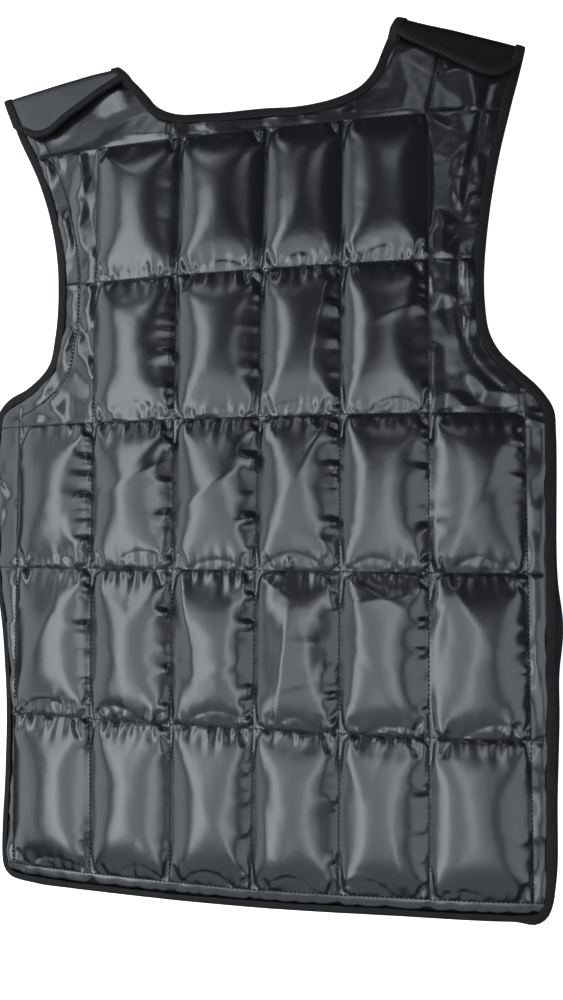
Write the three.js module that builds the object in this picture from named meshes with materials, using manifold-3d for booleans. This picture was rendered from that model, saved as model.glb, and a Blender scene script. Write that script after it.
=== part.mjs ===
// Quilted weighted vest lying flat with its back up, in millimetres.
// +Y runs toward the shoulders, +Z is up, and the floor is z = 0.
import * as THREE from 'three';
import { mergeVertices } from 'three/addons/utils/BufferGeometryUtils.js';
import Module from 'manifold-3d';

const wasm = await Module();
wasm.setup();

// Cloth and tape
const CLOTH = 3; // stitched-down cloth at an edge
const SEAM_HALF = 1.7; // half the thickness of the quilt along a seam
const TAPE = 1; // thickness of the binding tape
const TAPE_REACH = 9; // how far the tape reaches in from the cloth's edge
const GAP = 0.4; // clearance between neighbouring pieces
const TAPE_HALF = CLOTH / 2 + GAP + TAPE;
const EDGE_TO_CLOTH = GAP + TAPE; // the cloth's edge lies inside the tape's

// Heights of the two panels
const FRONT_PLANE = 8; // middle of the front panel's cloth
const EDGE_PLANE = FRONT_PLANE + 2 * TAPE_HALF + GAP; // the back's side tape lies on the front's
const ARCH_RISE = 20; // how far the middle of the back stands above its sides
const ARCH_MIDDLE_X = -6;
const ARCH_HALF_WIDTH = 233;
const ARCH_MIDDLE_Y = 30;
const ARCH_HALF_LENGTH = 340;
const ARCH_DROOP = 0.4; // share of the rise that is lost at the hem and at the shoulders
const FLAP_LIFT = 2 * TAPE_HALF + GAP; // the flap's tape lies on the back's tape

// Quilting: upright seams with their lean over 300 mm, and the heights of the level seams
const COLUMN_SEAMS = [
  { x: -210, lean: -8 },
  { x: -137.5, lean: -6 },
  { x: -66.5, lean: -1.5 },
  { x: 2.5, lean: 3 },
  { x: 67, lean: 1 },
  { x: 133.5, lean: 2 },
  { x: 204.5, lean: 0 },
];
const ROW_SEAMS = [300, 180, 60, -60, -180, -302];
const PART_ROWS = 2; // the top rows, whose outer pockets are cut by the armholes
const PAD = 12.5; // loft of a full pocket, all on the outside
const EDGE_STRIP = 14; // flat strip along every edge
const GATHER = 1.6; // height of the gathers along the level seams
const PUCKER = 1.1; // height of the puckers left of the upright seams
const SIDE_SPAN = 60; // how far the grid goes beyond the outer seams
const TOP_SPAN = 110;
const HEM_SPAN = 50;

// Outer edges in plan, each row a point on the edge of the tape
const point = (x, y) => new THREE.Vector2(x, y);
const LEFT_ARMHOLE = [
  point(-226, 324),
  point(-204, 282),
  point(-189, 243),
  point(-180, 205),
  point(-177, 168),
  point(-178.5, 136),
  point(-184, 111),
  point(-203, 94),
];
const LEFT_SIDE = [
  point(-224, 85),
  point(-235, 74),
  point(-238, 58),
  point(-236, 0),
  point(-232, -58),
  point(-221, -116),
  point(-214.5, -170),
  point(-213, -225),
  point(-214, -280),
];
const HEM = [
  point(-211, -301),
  point(-198, -313.5),
  point(-100, -314),
  point(0, -313),
  point(110, -309),
  point(196, -307),
];
const RIGHT_SIDE = [
  point(213, -300),
  point(220, -280),
  point(222, -222),
  point(224, -150),
  point(225, -50),
  point(226.5, 45),
  point(225, 65),
  point(216, 79),
];
const RIGHT_ARMHOLE = [
  point(201, 93),
  point(187, 107),
  point(179.5, 122),
  point(176.5, 145),
  point(176.5, 172),
  point(181, 216),
  point(189, 262),
  point(198, 300),
];
const BACK_NECK = [
  point(99, 357),
  point(93, 342),
  point(82, 329),
  point(64, 321),
  point(33, 317),
  point(0, 318.5),
  point(-40, 319.5),
  point(-74, 323),
  point(-91, 332),
  point(-99, 342),
];
const FRONT_NECK = [
  point(-96, 322),
  point(-80, 288),
  point(-56, 258),
  point(-28, 242),
  point(2, 237),
  point(32, 243),
  point(58, 262),
  point(80, 296),
  point(93, 330),
];
const FRONT_HEM_DROP = 6; // how far the front shows below the back
const FRONT_SIDE_SHIFT = 2; // how far the front shows on the right
const FRONT_ARMHOLE_IN = 3; // how far the front's armholes lie inside the back's

// Shoulders: ends of the fold, slant of the two edges, and the flap's depth below the fold
const LEFT_SHOULDER = {
  neck: point(-130, 376),
  tip: point(-243, 363),
  neckSlant: 0.75,
  armSlant: 0.32,
  climb: 18.5, // depth below the fold where the neck tape climbs onto the flap
  flap: [
    { along: 0, depth: 17 },
    { along: 0.09, depth: 22 },
    { along: 0.24, depth: 31 },
    { along: 0.42, depth: 41 },
    { along: 0.6, depth: 46 },
    { along: 0.72, depth: 46 },
    { along: 0.82, depth: 40 },
    { along: 0.89, depth: 32 },
    { along: 0.95, depth: 24 },
    { along: 1, depth: 16 },
  ],
};
const RIGHT_SHOULDER = {
  neck: point(113, 388),
  tip: point(211, 352),
  neckSlant: 0.09,
  armSlant: -0.1,
  climb: 22.6,
  flap: [
    { along: 0, depth: 17 },
    { along: 0.1, depth: 21 },
    { along: 0.25, depth: 24 },
    { along: 0.45, depth: 28 },
    { along: 0.64, depth: 32 },
    { along: 0.76, depth: 34 },
    { along: 0.85, depth: 33 },
    { along: 0.91, depth: 29 },
    { along: 0.96, depth: 23 },
    { along: 1, depth: 16 },
  ],
};
const FLAP_TAPE_START = 2; // row of the flap table where its tape begins, clear of the neck tape
const BACK_END_AT_NECK = 24.5; // depth below the fold where the back's shoulder ends
const BACK_END_AT_ARM = 14;
const JOIN_DEPTH = 30; // depth below the fold where the flap joins the front panel
const JOIN_GAP = 0.8;
const FOLD_STEPS = 6;
const FLAP_STEPS = 3;

// Middle surface of the back's cloth
function backPlane(x, y) {
  const across = Math.abs(x - ARCH_MIDDLE_X) / ARCH_HALF_WIDTH;
  const lengthwise = (y - ARCH_MIDDLE_Y) / ARCH_HALF_LENGTH;
  const lift = 1 - ARCH_DROOP * lengthwise * lengthwise;
  return EDGE_PLANE + ARCH_RISE * lift * (1 - across ** 3);
}

// Plan outlines
const MAX_TURN = 0.28;
const MAX_STEP = 34;

// Smooth run through the points, kept only where it turns or gets long.
function smoothRun(points) {
  const curve = new THREE.CatmullRomCurve3(
    points.map((p) => new THREE.Vector3(p.x, p.y, 0)),
    false,
    'centripetal',
  );
  const fine = curve.getSpacedPoints(points.length * 16).map((p) => point(p.x, p.y));
  const kept = [fine[0]];
  let turn = 0;
  for (let i = 1; i < fine.length - 1; i++) {
    const before = fine[i].clone().sub(fine[i - 1]);
    const after = fine[i + 1].clone().sub(fine[i]);
    turn += Math.abs(Math.atan2(before.cross(after), before.dot(after)));
    if (turn > MAX_TURN || fine[i].distanceTo(kept[kept.length - 1]) > MAX_STEP) {
      kept.push(fine[i]);
      turn = 0;
    }
  }
  kept.push(fine[fine.length - 1]);
  return kept;
}

// Unit direction into the cloth at each point of a run that has the cloth on its left.
function inwardOf(run) {
  return run.map((p, i) => {
    const from = run[Math.max(i - 1, 0)];
    const to = run[Math.min(i + 1, run.length - 1)];
    const way = to.clone().sub(from).normalize();
    return point(-way.y, way.x);
  });
}

const moved = (run, distance) => {
  const inward = inwardOf(run);
  return run.map((p, i) => p.clone().addScaledVector(inward[i], distance));
};

// Shoulder: the cloth goes from the front, round the fold and back over the back's yoke.
function makeShoulder({ neck, tip, neckSlant, armSlant, flap }) {
  const span = tip.distanceTo(neck);
  const along = tip.clone().sub(neck).normalize();
  const out = along.x > 0 ? point(-along.y, along.x) : point(along.y, -along.x);
  // Plan of the cloth, or of the tape's outer edge beyond it
  const planWithin = (margin) => (share, depth) => {
    const start = margin - neckSlant * depth;
    const end = span - margin - armSlant * depth;
    return neck
      .clone()
      .addScaledVector(along, start + (end - start) * share)
      .addScaledVector(out, -depth);
  };
  const plan = planWithin(EDGE_TO_CLOTH);
  const tapePlan = planWithin(0);
  const topPlane = (p) => backPlane(p.x, p.y) + FLAP_LIFT;
  const radius = (share) => (topPlane(plan(share, 10)) - FRONT_PLANE) / 2;
  const foldDepth = (share) => radius(share) + TAPE_HALF;

  // A point on the underside, the fold or the flap, raised off the middle of the cloth.
  const under = (share, depth, raised) => {
    const p = plan(share, depth);
    return new THREE.Vector3(p.x, p.y, FRONT_PLANE - raised);
  };
  const fold = (share, angle, raised) => {
    const r = radius(share);
    const p = plan(share, foldDepth(share) - (r + raised) * Math.sin(angle));
    return new THREE.Vector3(p.x, p.y, FRONT_PLANE + r - (r + raised) * Math.cos(angle));
  };
  const top = (share, depth, raised) => {
    const p = plan(share, depth);
    const lift = 2 * radius(share) + FRONT_PLANE - topPlane(plan(share, foldDepth(share)));
    const settle = Math.max(0, 1 - (depth - foldDepth(share)) / 12);
    return new THREE.Vector3(p.x, p.y, topPlane(p) + lift * settle + raised);
  };
  const flapDepth = (share) => {
    const i = Math.max(flap.findIndex((row) => row.along >= share), 1);
    const t = (share - flap[i - 1].along) / (flap[i].along - flap[i - 1].along);
    return THREE.MathUtils.lerp(flap[i - 1].depth, flap[i].depth, t);
  };

  // Rows of the cloth from where it joins the front to the flap's end
  const rows = [];
  for (const depth of [JOIN_DEPTH - JOIN_GAP, (JOIN_DEPTH + 14) / 2]) {
    rows.push((share, raised) => under(share, depth, raised));
  }
  for (let i = 0; i <= FOLD_STEPS; i++) {
    rows.push((share, raised) => fold(share, (Math.PI * i) / FOLD_STEPS, raised));
  }
  for (let i = 1; i <= FLAP_STEPS; i++) {
    rows.push((share, raised) => {
      const start = foldDepth(share);
      return top(share, start + ((flapDepth(share) - start) * i) / FLAP_STEPS, raised);
    });
  }
  return { plan, tapePlan, rows, span, flapDepth, shares: flap.map((row) => row.along) };
}

const leftShoulder = makeShoulder(LEFT_SHOULDER);
const rightShoulder = makeShoulder(RIGHT_SHOULDER);

// Runs of the outline, counter-clockwise seen from above
const backEdge = moved(
  smoothRun([
    leftShoulder.tapePlan(1, BACK_END_AT_ARM),
    ...LEFT_ARMHOLE,
    ...LEFT_SIDE,
    ...HEM,
    ...RIGHT_SIDE,
    ...RIGHT_ARMHOLE,
    rightShoulder.tapePlan(1, BACK_END_AT_ARM),
  ]),
  EDGE_TO_CLOTH,
);
const backNeck = moved(
  smoothRun([
    rightShoulder.tapePlan(0, BACK_END_AT_NECK),
    ...BACK_NECK,
    leftShoulder.tapePlan(0, BACK_END_AT_NECK),
  ]),
  EDGE_TO_CLOTH,
);
const backNeckTape = [
  rightShoulder.plan(0, RIGHT_SHOULDER.climb),
  ...backNeck,
  leftShoulder.plan(0, LEFT_SHOULDER.climb),
];
const shifted = (points, dx, dy) => points.map((p) => point(p.x + dx, p.y + dy));
const frontEdge = moved(
  smoothRun([
    leftShoulder.tapePlan(1, JOIN_DEPTH),
    ...shifted(LEFT_ARMHOLE.slice(1), FRONT_ARMHOLE_IN, 0),
    ...LEFT_SIDE,
    ...shifted(HEM, 0, -FRONT_HEM_DROP),
    ...shifted(RIGHT_SIDE.slice(0, 1), FRONT_SIDE_SHIFT, -FRONT_HEM_DROP),
    ...shifted(RIGHT_SIDE.slice(1), FRONT_SIDE_SHIFT, 0),
    ...shifted(RIGHT_ARMHOLE.slice(0, -1), -FRONT_ARMHOLE_IN, 0),
    rightShoulder.tapePlan(1, JOIN_DEPTH),
  ]),
  EDGE_TO_CLOTH,
);
const frontNeckForward = smoothRun([
  leftShoulder.tapePlan(0, JOIN_DEPTH),
  ...FRONT_NECK,
  rightShoulder.tapePlan(0, JOIN_DEPTH),
]);
const frontNeck = moved(frontNeckForward.slice().reverse(), EDGE_TO_CLOTH);

// Closed solids from vertices and triangles
function solid(positions, triangles) {
  const mesh = new wasm.Mesh({
    numProp: 3,
    vertProperties: new Float32Array(positions),
    triVerts: new Uint32Array(triangles),
  });
  return new wasm.Manifold(mesh);
}

function geometryOf(manifold) {
  const mesh = manifold.getMesh();
  const geometry = new THREE.BufferGeometry();
  geometry.setAttribute('position', new THREE.Float32BufferAttribute(mesh.vertProperties, 3));
  geometry.setIndex(new THREE.Uint32BufferAttribute(mesh.triVerts, 1));
  return geometry;
}

function prism(outline) {
  const height = 200;
  const shape = new THREE.Shape(outline);
  const geometry = new THREE.ExtrudeGeometry(shape, { depth: height, bevelEnabled: false });
  geometry.translate(0, 0, -height / 2);
  geometry.deleteAttribute('normal');
  geometry.deleteAttribute('uv');
  const merged = mergeVertices(geometry, 1e-4);
  return solid(merged.attributes.position.array, merged.index.array);
}

// Grid that follows the seams: column 0 to 6 across, row 0 to 5 down
const LAST_COLUMN = COLUMN_SEAMS.length - 1;
const LAST_ROW = ROW_SEAMS.length - 1;
const seamX = (i, y) => COLUMN_SEAMS[i].x + (COLUMN_SEAMS[i].lean * y) / 300;

function gridY(row) {
  if (row < 0) return ROW_SEAMS[0] - row * TOP_SPAN;
  if (row > LAST_ROW) return ROW_SEAMS[LAST_ROW] - (row - LAST_ROW) * HEM_SPAN;
  const i = Math.min(Math.floor(row), LAST_ROW - 1);
  return THREE.MathUtils.lerp(ROW_SEAMS[i], ROW_SEAMS[i + 1], row - i);
}

function gridX(column, y) {
  if (column < 0) return seamX(0, y) + column * SIDE_SPAN;
  if (column > LAST_COLUMN) return seamX(LAST_COLUMN, y) + (column - LAST_COLUMN) * SIDE_SPAN;
  const i = Math.min(Math.floor(column), LAST_COLUMN - 1);
  return THREE.MathUtils.lerp(seamX(i, y), seamX(i + 1, y), column - i);
}

// Sample positions along the grid: the same shares of every pocket, with the borders added
function samples(last, shares, before, after) {
  const list = [...before];
  for (let i = 0; i < last; i++) shares.forEach((share) => list.push(i + share));
  return [...list, last, ...after];
}

// Closed slab between an upper and a lower height field, each with its own grid.
function slab(upper, lower) {
  const positions = [];
  const triangles = [];
  const place = ({ columns, rows, height }) => {
    const start = positions.length / 3;
    rows.forEach((row) =>
      columns.forEach((column) => {
        const y = gridY(row);
        const x = gridX(column, y);
        positions.push(x, y, height(column, row, x, y));
      }),
    );
    return (i, j) => start + j * columns.length + i;
  };
  const fill = ({ columns, rows }, at, flip) => {
    for (let j = 0; j < rows.length - 1; j++) {
      for (let i = 0; i < columns.length - 1; i++) {
        const [a, b, c, d] = [at(i, j), at(i + 1, j), at(i, j + 1), at(i + 1, j + 1)];
        if (flip) triangles.push(a, b, c, b, d, c);
        else triangles.push(a, c, b, b, c, d);
      }
    }
  };
  const upperAt = place(upper);
  const lowerAt = place(lower);
  fill(upper, upperAt, false);
  fill(lower, lowerAt, true);

  // Walls: each joins an upper and a lower line of points that run the same way.
  const wall = (line, other) => {
    let i = 0;
    let j = 0;
    while (i < line.length - 1 || j < other.length - 1) {
      const upperNext = i < line.length - 1 ? line[i + 1].at : Infinity;
      const lowerNext = j < other.length - 1 ? other[j + 1].at : Infinity;
      if (upperNext <= lowerNext) {
        triangles.push(line[i].index, line[i + 1].index, other[j].index);
        i++;
      } else {
        triangles.push(line[i].index, other[j + 1].index, other[j].index);
        j++;
      }
    }
  };
  const across = (grid, at, j, sign) => {
    const line = grid.columns.map((column, i) => ({ at: sign * column, index: at(i, j) }));
    return sign > 0 ? line : line.reverse();
  };
  const down = (grid, at, i, sign) => {
    const line = grid.rows.map((row, j) => ({ at: sign * row, index: at(i, j) }));
    return sign > 0 ? line : line.reverse();
  };
  const lastColumn = (grid) => grid.columns.length - 1;
  const lastRow = (grid) => grid.rows.length - 1;
  wall(across(upper, upperAt, 0, 1), across(lower, lowerAt, 0, 1));
  wall(down(upper, upperAt, lastColumn(upper), 1), down(lower, lowerAt, lastColumn(lower), 1));
  wall(across(upper, upperAt, lastRow(upper), -1), across(lower, lowerAt, lastRow(lower), -1));
  wall(down(upper, upperAt, 0, -1), down(lower, lowerAt, 0, -1));
  return solid(positions, triangles);
}

// Distance from a point in plan to the nearest side of an outline
function edgeDistance(outline, x, y) {
  const p = point(x, y);
  let nearest = Infinity;
  outline.forEach((from, i) => {
    const side = outline[(i + 1) % outline.length].clone().sub(from);
    const share = THREE.MathUtils.clamp(p.clone().sub(from).dot(side) / side.lengthSq(), 0, 1);
    nearest = Math.min(nearest, from.clone().addScaledVector(side, share).distanceTo(p));
  });
  return nearest;
}

// Loft of the quilting from 0 on a seam to 1 in the middle of a pocket
function loft(outline, column, row, x, y) {
  if (row <= 0 || row >= LAST_ROW || column <= 0 || column >= LAST_COLUMN) return 0;
  const across = column - Math.floor(column);
  const down = row - Math.floor(row);
  const lengthwise = 1 - Math.abs(2 * down - 1) ** 5;
  const inEdge = edgeDistance(outline, x, y) - EDGE_STRIP;
  const edgeFade = THREE.MathUtils.clamp(inEdge / 16, 0, 1);
  const cutByArmhole = row < PART_ROWS && (column < 1 || column > LAST_COLUMN - 1);
  if (!cutByArmhole) return (4 * across * (1 - across)) ** 0.62 * lengthwise * edgeFade;
  const inner = column < 1 ? 1 : LAST_COLUMN - 1;
  const fromSeam = Math.abs(x - seamX(inner, y));
  const fromEdge = Math.max(inEdge - 6, 0);
  const width = fromSeam + fromEdge;
  if (width < 1) return 0;
  const roundness = (4 * fromSeam * fromEdge) / (width * width);
  return 0.75 * roundness ** 0.62 * lengthwise * Math.min(1, width / 50);
}

// Gathers stand along the level seams, puckers on the left of the upright ones.
const GATHERS_PER_POCKET = 6;
function gathers(column, row, padded) {
  if (padded === 0) return 0;
  const rowPitch = ROW_SEAMS[2] - ROW_SEAMS[3];
  const fromRowSeam = Math.abs(row - Math.round(row)) * rowPitch;
  const toColumnSeam = Math.ceil(column) - column;
  const parity = Math.round(column * GATHERS_PER_POCKET) % 2 ? 1 : -1;
  const gather = GATHER * parity * Math.exp(-((fromRowSeam - 9) ** 2) / 120);
  const beside = toColumnSeam > 0.1 && toColumnSeam < 0.2;
  const pucker = beside ? PUCKER * Math.cos(row * 22) : 0;
  return gather + pucker;
}

// Grids: fine on the back's outside, plainer where little shows
const BORDER_LEFT = [-1, -0.6, -0.3];
const BORDER_RIGHT = [6.3, 6.6, 7];
const BORDER_TOP = [-1, -0.6, -0.3];
const BORDER_HEM = [5.3, 6];
const sixths = [0, 1, 2, 3, 4, 5].map((i) => i / GATHERS_PER_POCKET);
const FINE_COLUMNS = samples(LAST_COLUMN, sixths, BORDER_LEFT, BORDER_RIGHT);
const FINE_ROWS = samples(LAST_ROW, [0, 0.08, 0.2, 0.5, 0.8, 0.92], BORDER_TOP, BORDER_HEM);
const halves = samples(LAST_COLUMN, [0, 0.5], BORDER_LEFT, BORDER_RIGHT);
const PLAIN_COLUMNS = [...halves, 0.25, 0.75, 1.25, 4.75, 5.25, 5.75].sort((a, b) => a - b);
const PLAIN_ROWS = samples(LAST_ROW, [0, 0.5], BORDER_TOP, BORDER_HEM);
const REST_COLUMNS = samples(LAST_COLUMN, [0, 0.13, 0.87], BORDER_LEFT, BORDER_RIGHT);
const REST_ROWS = samples(LAST_ROW, [0, 0.1, 0.9], BORDER_TOP, BORDER_HEM);

// Outline moved in, without the points that sharp corners bring too near another side.
function inset(outline, distance) {
  const around = [outline[outline.length - 1], ...outline, outline[0]];
  const inner = moved(around, distance).slice(1, -1);
  return inner.filter((p) => edgeDistance(outline, p.x, p.y) > distance - 0.5);
}

// A panel is its thin cloth out to the edge, and its quilting inside the edge strip.
function panel(outline, thin, quilt) {
  const cloth = slab(thin.upper, thin.lower).intersect(prism(outline));
  const filled = slab(quilt.upper, quilt.lower).intersect(prism(inset(outline, EDGE_STRIP - 2)));
  return geometryOf(cloth.add(filled));
}

const backOutline = [...backEdge, ...backNeck];
const frontOutline = [...frontEdge, ...frontNeck];
const plainGrid = { columns: PLAIN_COLUMNS, rows: PLAIN_ROWS };

const backPanel = panel(
  backOutline,
  {
    upper: { ...plainGrid, height: (column, row, x, y) => backPlane(x, y) + CLOTH / 2 },
    lower: { ...plainGrid, height: (column, row, x, y) => backPlane(x, y) - CLOTH / 2 },
  },
  {
    upper: {
      columns: FINE_COLUMNS,
      rows: FINE_ROWS,
      height: (column, row, x, y) => {
        const full = loft(backOutline, column, row, x, y);
        return backPlane(x, y) + SEAM_HALF + PAD * full + gathers(column, row, full);
      },
    },
    lower: { ...plainGrid, height: (column, row, x, y) => backPlane(x, y) },
  },
);

const frontPanel = panel(
  frontOutline,
  {
    upper: { ...plainGrid, height: () => FRONT_PLANE + CLOTH / 2 },
    lower: { ...plainGrid, height: () => FRONT_PLANE - CLOTH / 2 },
  },
  {
    upper: { ...plainGrid, height: () => FRONT_PLANE },
    // The pockets underneath are flattened by the floor.
    lower: {
      columns: REST_COLUMNS,
      rows: REST_ROWS,
      height: (column, row, x, y) =>
        (FRONT_PLANE - SEAM_HALF) * (1 - Math.min(1, 3 * loft(frontOutline, column, row, x, y))),
    },
  },
);

// Bands: closed solids swept through stations that each place a point of the section
function band(stations, section, closed) {
  const ring = section.length;
  const positions = stations.flatMap((at) => section.flatMap((p) => at(p.x, p.y).toArray()));
  const triangles = [];
  const count = closed ? stations.length : stations.length - 1;
  for (let k = 0; k < count; k++) {
    const here = k * ring;
    const next = ((k + 1) % stations.length) * ring;
    for (let j = 0; j < ring; j++) {
      const over = (j + 1) % ring;
      triangles.push(here + j, next + j, here + over, here + over, next + j, next + over);
    }
  }
  if (!closed) {
    const last = (stations.length - 1) * ring;
    THREE.ShapeUtils.triangulateShape(section, []).forEach(([a, b, c]) => {
      triangles.push(a, b, c, last + c, last + b, last + a);
    });
  }
  const geometry = new THREE.BufferGeometry();
  geometry.setAttribute('position', new THREE.Float32BufferAttribute(positions, 3));
  geometry.setIndex(signedVolume(positions, triangles) < 0 ? triangles.reverse() : triangles);
  return geometry;
}

function signedVolume(positions, triangles) {
  const corner = (i) => new THREE.Vector3().fromArray(positions, 3 * i);
  let volume = 0;
  for (let t = 0; t < triangles.length; t += 3) {
    volume += corner(triangles[t]).dot(corner(triangles[t + 1]).cross(corner(triangles[t + 2])));
  }
  return volume;
}

// The tape is folded over the cloth's edge: across the cloth, and up from its middle.
const SLOT = CLOTH / 2 + GAP;
const TAPE_SECTION = [
  point(-EDGE_TO_CLOTH, -TAPE_HALF),
  point(TAPE_REACH, -TAPE_HALF),
  point(TAPE_REACH, -SLOT),
  point(-GAP, -SLOT),
  point(-GAP, SLOT),
  point(TAPE_REACH, SLOT),
  point(TAPE_REACH, TAPE_HALF),
  point(-EDGE_TO_CLOTH, TAPE_HALF),
];

// Stations of the tape along a run, with the height of the cloth and the side that faces out
function tapeAlong(run, heightAt, facing) {
  const inward = inwardOf(run);
  return run.map((p, i) => (across, raised) => {
    const at = p.clone().addScaledVector(inward[i], across);
    return new THREE.Vector3(at.x, at.y, heightAt(at.x, at.y) + facing * raised);
  });
}
const onBack = (run) => tapeAlong(run, backPlane, 1);
const onFront = (run) => tapeAlong(run, () => FRONT_PLANE, -1);

// Stations over the fold along the shoulder's neck edge or arm edge, from the flap to the underside
const TAPE_FROM_ROW = 1; // the row at the join is the front panel's first station
function tapeOverFold(shoulder, atArm) {
  return shoulder.rows
    .slice(TAPE_FROM_ROW)
    .reverse()
    .map((row) => (across, raised) => {
      const share = across / shoulder.span;
      return row(atArm ? 1 - share : share, raised);
    });
}

// Stations along the flap's lower edge, from the neck side to the arm
function tapeOnFlap(shoulder, cloth) {
  const run = shoulder.shares.map((share) => shoulder.plan(share, shoulder.flapDepth(share)));
  const inward = inwardOf(run).map((way) => way.multiplyScalar(cloth));
  return run.slice(FLAP_TAPE_START, -1).map((p, i) => (across, raised) => {
    const at = p.clone().addScaledVector(inward[i + FLAP_TAPE_START], across);
    return new THREE.Vector3(at.x, at.y, backPlane(at.x, at.y) + FLAP_LIFT + raised);
  });
}

function shoulderCloth({ rows, shares }) {
  const positions = [];
  const triangles = [];
  const half = CLOTH / 2;
  const width = shares.length;
  const layer = rows.length * width;
  for (const raised of [half, -half]) {
    for (const row of rows) {
      for (const share of shares) positions.push(...row(share, raised).toArray());
    }
  }
  const at = (side, j, i) => side * layer + j * width + i;
  const quad = (a, b, c, d) => triangles.push(a, b, c, c, b, d);
  for (let j = 0; j < rows.length - 1; j++) {
    for (let i = 0; i < width - 1; i++) {
      quad(at(0, j, i), at(0, j, i + 1), at(0, j + 1, i), at(0, j + 1, i + 1));
      quad(at(1, j, i + 1), at(1, j, i), at(1, j + 1, i + 1), at(1, j + 1, i));
    }
    const last = width - 1;
    quad(at(1, j, 0), at(0, j, 0), at(1, j + 1, 0), at(0, j + 1, 0));
    quad(at(0, j, last), at(1, j, last), at(0, j + 1, last), at(1, j + 1, last));
  }
  const end = rows.length - 1;
  for (let i = 0; i < width - 1; i++) {
    quad(at(0, 0, i), at(1, 0, i), at(0, 0, i + 1), at(1, 0, i + 1));
    quad(at(1, end, i), at(0, end, i), at(1, end, i + 1), at(0, end, i + 1));
  }
  const geometry = new THREE.BufferGeometry();
  geometry.setAttribute('position', new THREE.Float32BufferAttribute(positions, 3));
  geometry.setIndex(signedVolume(positions, triangles) < 0 ? triangles.reverse() : triangles);
  return geometry;
}

const neckBinding = band(
  [
    ...onBack(backNeckTape),
    ...tapeOverFold(leftShoulder, false),
    ...onFront(frontNeck).reverse(),
    ...tapeOverFold(rightShoulder, false).reverse(),
  ],
  TAPE_SECTION,
  true,
);
const backEdgeBinding = band(onBack(backEdge), TAPE_SECTION, false);
const frontEdgeBinding = band(
  [
    ...tapeOnFlap(leftShoulder, -1),
    ...tapeOverFold(leftShoulder, true),
    ...onFront(frontEdge),
    ...tapeOverFold(rightShoulder, true).reverse(),
    ...tapeOnFlap(rightShoulder, 1).reverse(),
  ],
  TAPE_SECTION,
  false,
);

// The part
const SATIN = new THREE.MeshStandardMaterial({ color: 0x4b4e54, roughness: 0.4 });
const TAPE_CLOTH = new THREE.MeshStandardMaterial({ color: 0x17181a, roughness: 0.8 });

const vest = new THREE.Group();
vest.name = 'weighted_vest';
function add(name, geometry, material) {
  const mesh = new THREE.Mesh(geometry, material);
  mesh.name = name;
  vest.add(mesh);
}
add('back_panel', backPanel, SATIN);
add('front_panel', frontPanel, SATIN);
add('shoulder_flap_left', shoulderCloth(leftShoulder), SATIN);
add('shoulder_flap_right', shoulderCloth(rightShoulder), SATIN);
add('neck_binding', neckBinding, TAPE_CLOTH);
add('back_edge_binding', backEdgeBinding, TAPE_CLOTH);
add('front_edge_binding', frontEdgeBinding, TAPE_CLOTH);

// The origin is the middle of the footprint, on the floor.
const box = new THREE.Box3().setFromObject(vest);
const middle = box.getCenter(new THREE.Vector3());
vest.children.forEach((mesh) => mesh.geometry.translate(-middle.x, -middle.y, -box.min.z));

export default vest;
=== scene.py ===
# Weighted vest of quilted satin, laid flat with its back up.
# Shapes are worked out in millimetres in the pattern's plan and placed in the part's frame in metres.
import math
from types import SimpleNamespace

import bmesh
import bpy
import numpy as np
from mathutils import Matrix, Vector
from mathutils.geometry import delaunay_2d_cdt


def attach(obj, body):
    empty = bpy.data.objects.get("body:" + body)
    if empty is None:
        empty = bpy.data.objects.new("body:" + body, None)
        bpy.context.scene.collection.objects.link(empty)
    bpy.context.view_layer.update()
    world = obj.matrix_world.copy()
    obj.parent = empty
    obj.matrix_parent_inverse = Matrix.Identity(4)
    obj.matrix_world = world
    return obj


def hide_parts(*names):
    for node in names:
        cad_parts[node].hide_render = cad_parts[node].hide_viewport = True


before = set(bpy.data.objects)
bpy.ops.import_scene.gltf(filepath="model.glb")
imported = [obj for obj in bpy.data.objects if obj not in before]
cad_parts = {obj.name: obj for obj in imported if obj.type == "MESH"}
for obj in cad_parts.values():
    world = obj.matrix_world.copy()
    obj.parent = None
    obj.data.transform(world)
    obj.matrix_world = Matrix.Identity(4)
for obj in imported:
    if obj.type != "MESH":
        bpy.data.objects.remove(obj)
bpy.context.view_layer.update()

# Camera
CAMERA_PLACE = (0.13784, -0.08515, 0.57978)
CAMERA_RIGHT = (0.98075, 0.00956, -0.19505)
CAMERA_UP = (0.00700, 0.99644, 0.08403)
CAMERA_BACK = (0.19516, -0.08377, 0.97719)
CAMERA_LENS = 25.99
SENSOR = 36.0
NEAREST_SEEN = 0.01

# Frame: the plan's origin lies this far from the part's, in millimetres
PLAN_SHIFT_X = 7.197
PLAN_SHIFT_Y = -32.720
MM = 0.001

# Cloth and tape, in millimetres
CLOTH = 3.0
SEAM_HALF = 1.7  # from the middle of the cloth up to its seams
RIM_INSET = 2.0  # from an outline to the edge of the cloth inside
EDGE_TO_CLOTH = 1.4
TAPE_REACH = 8.6
TAPE_SHOWN = 6.4  # how far in the tape shows on the back
FLAP_TAPE_SHOWN = 4.2
TAPE_REACH_LOW = 4.0  # where the satin laps over the tape, at the hem and on the left side
LAPPED_LEFT_OF = -190.0
LAPPED_BELOW = 60.0
HEM_LAPPED_BELOW = -292.0
TAPE_BLEND = 9  # points of an edge over which the tape's width changes
TAPE_HALF = 2.9
TAPE_TOP = 2.0  # height of the tape's face over the middle of the cloth
TAPE_SKIN = 0.55
TAPE_GAP = 0.4  # between tapes that lie on each other
TAPE_UV_WIDTH = 0.045
TAPE_WOBBLE = 0.35
TAPE_WOBBLE_PITCH = 22.0
TAPE_STEADY = 2.0  # this near the cloth's edge the tape doesn't wobble
TAPE_PUFF = 0.12
TAPE_PUFF_PITCH = 13.0
FRONT_PLANE = 8.0
EDGE_PLANE = FRONT_PLANE + 2 * TAPE_HALF + TAPE_GAP
FLAP_LIFT = 2 * TAPE_HALF + TAPE_GAP
ARCH_RISE = 20.0
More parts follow.
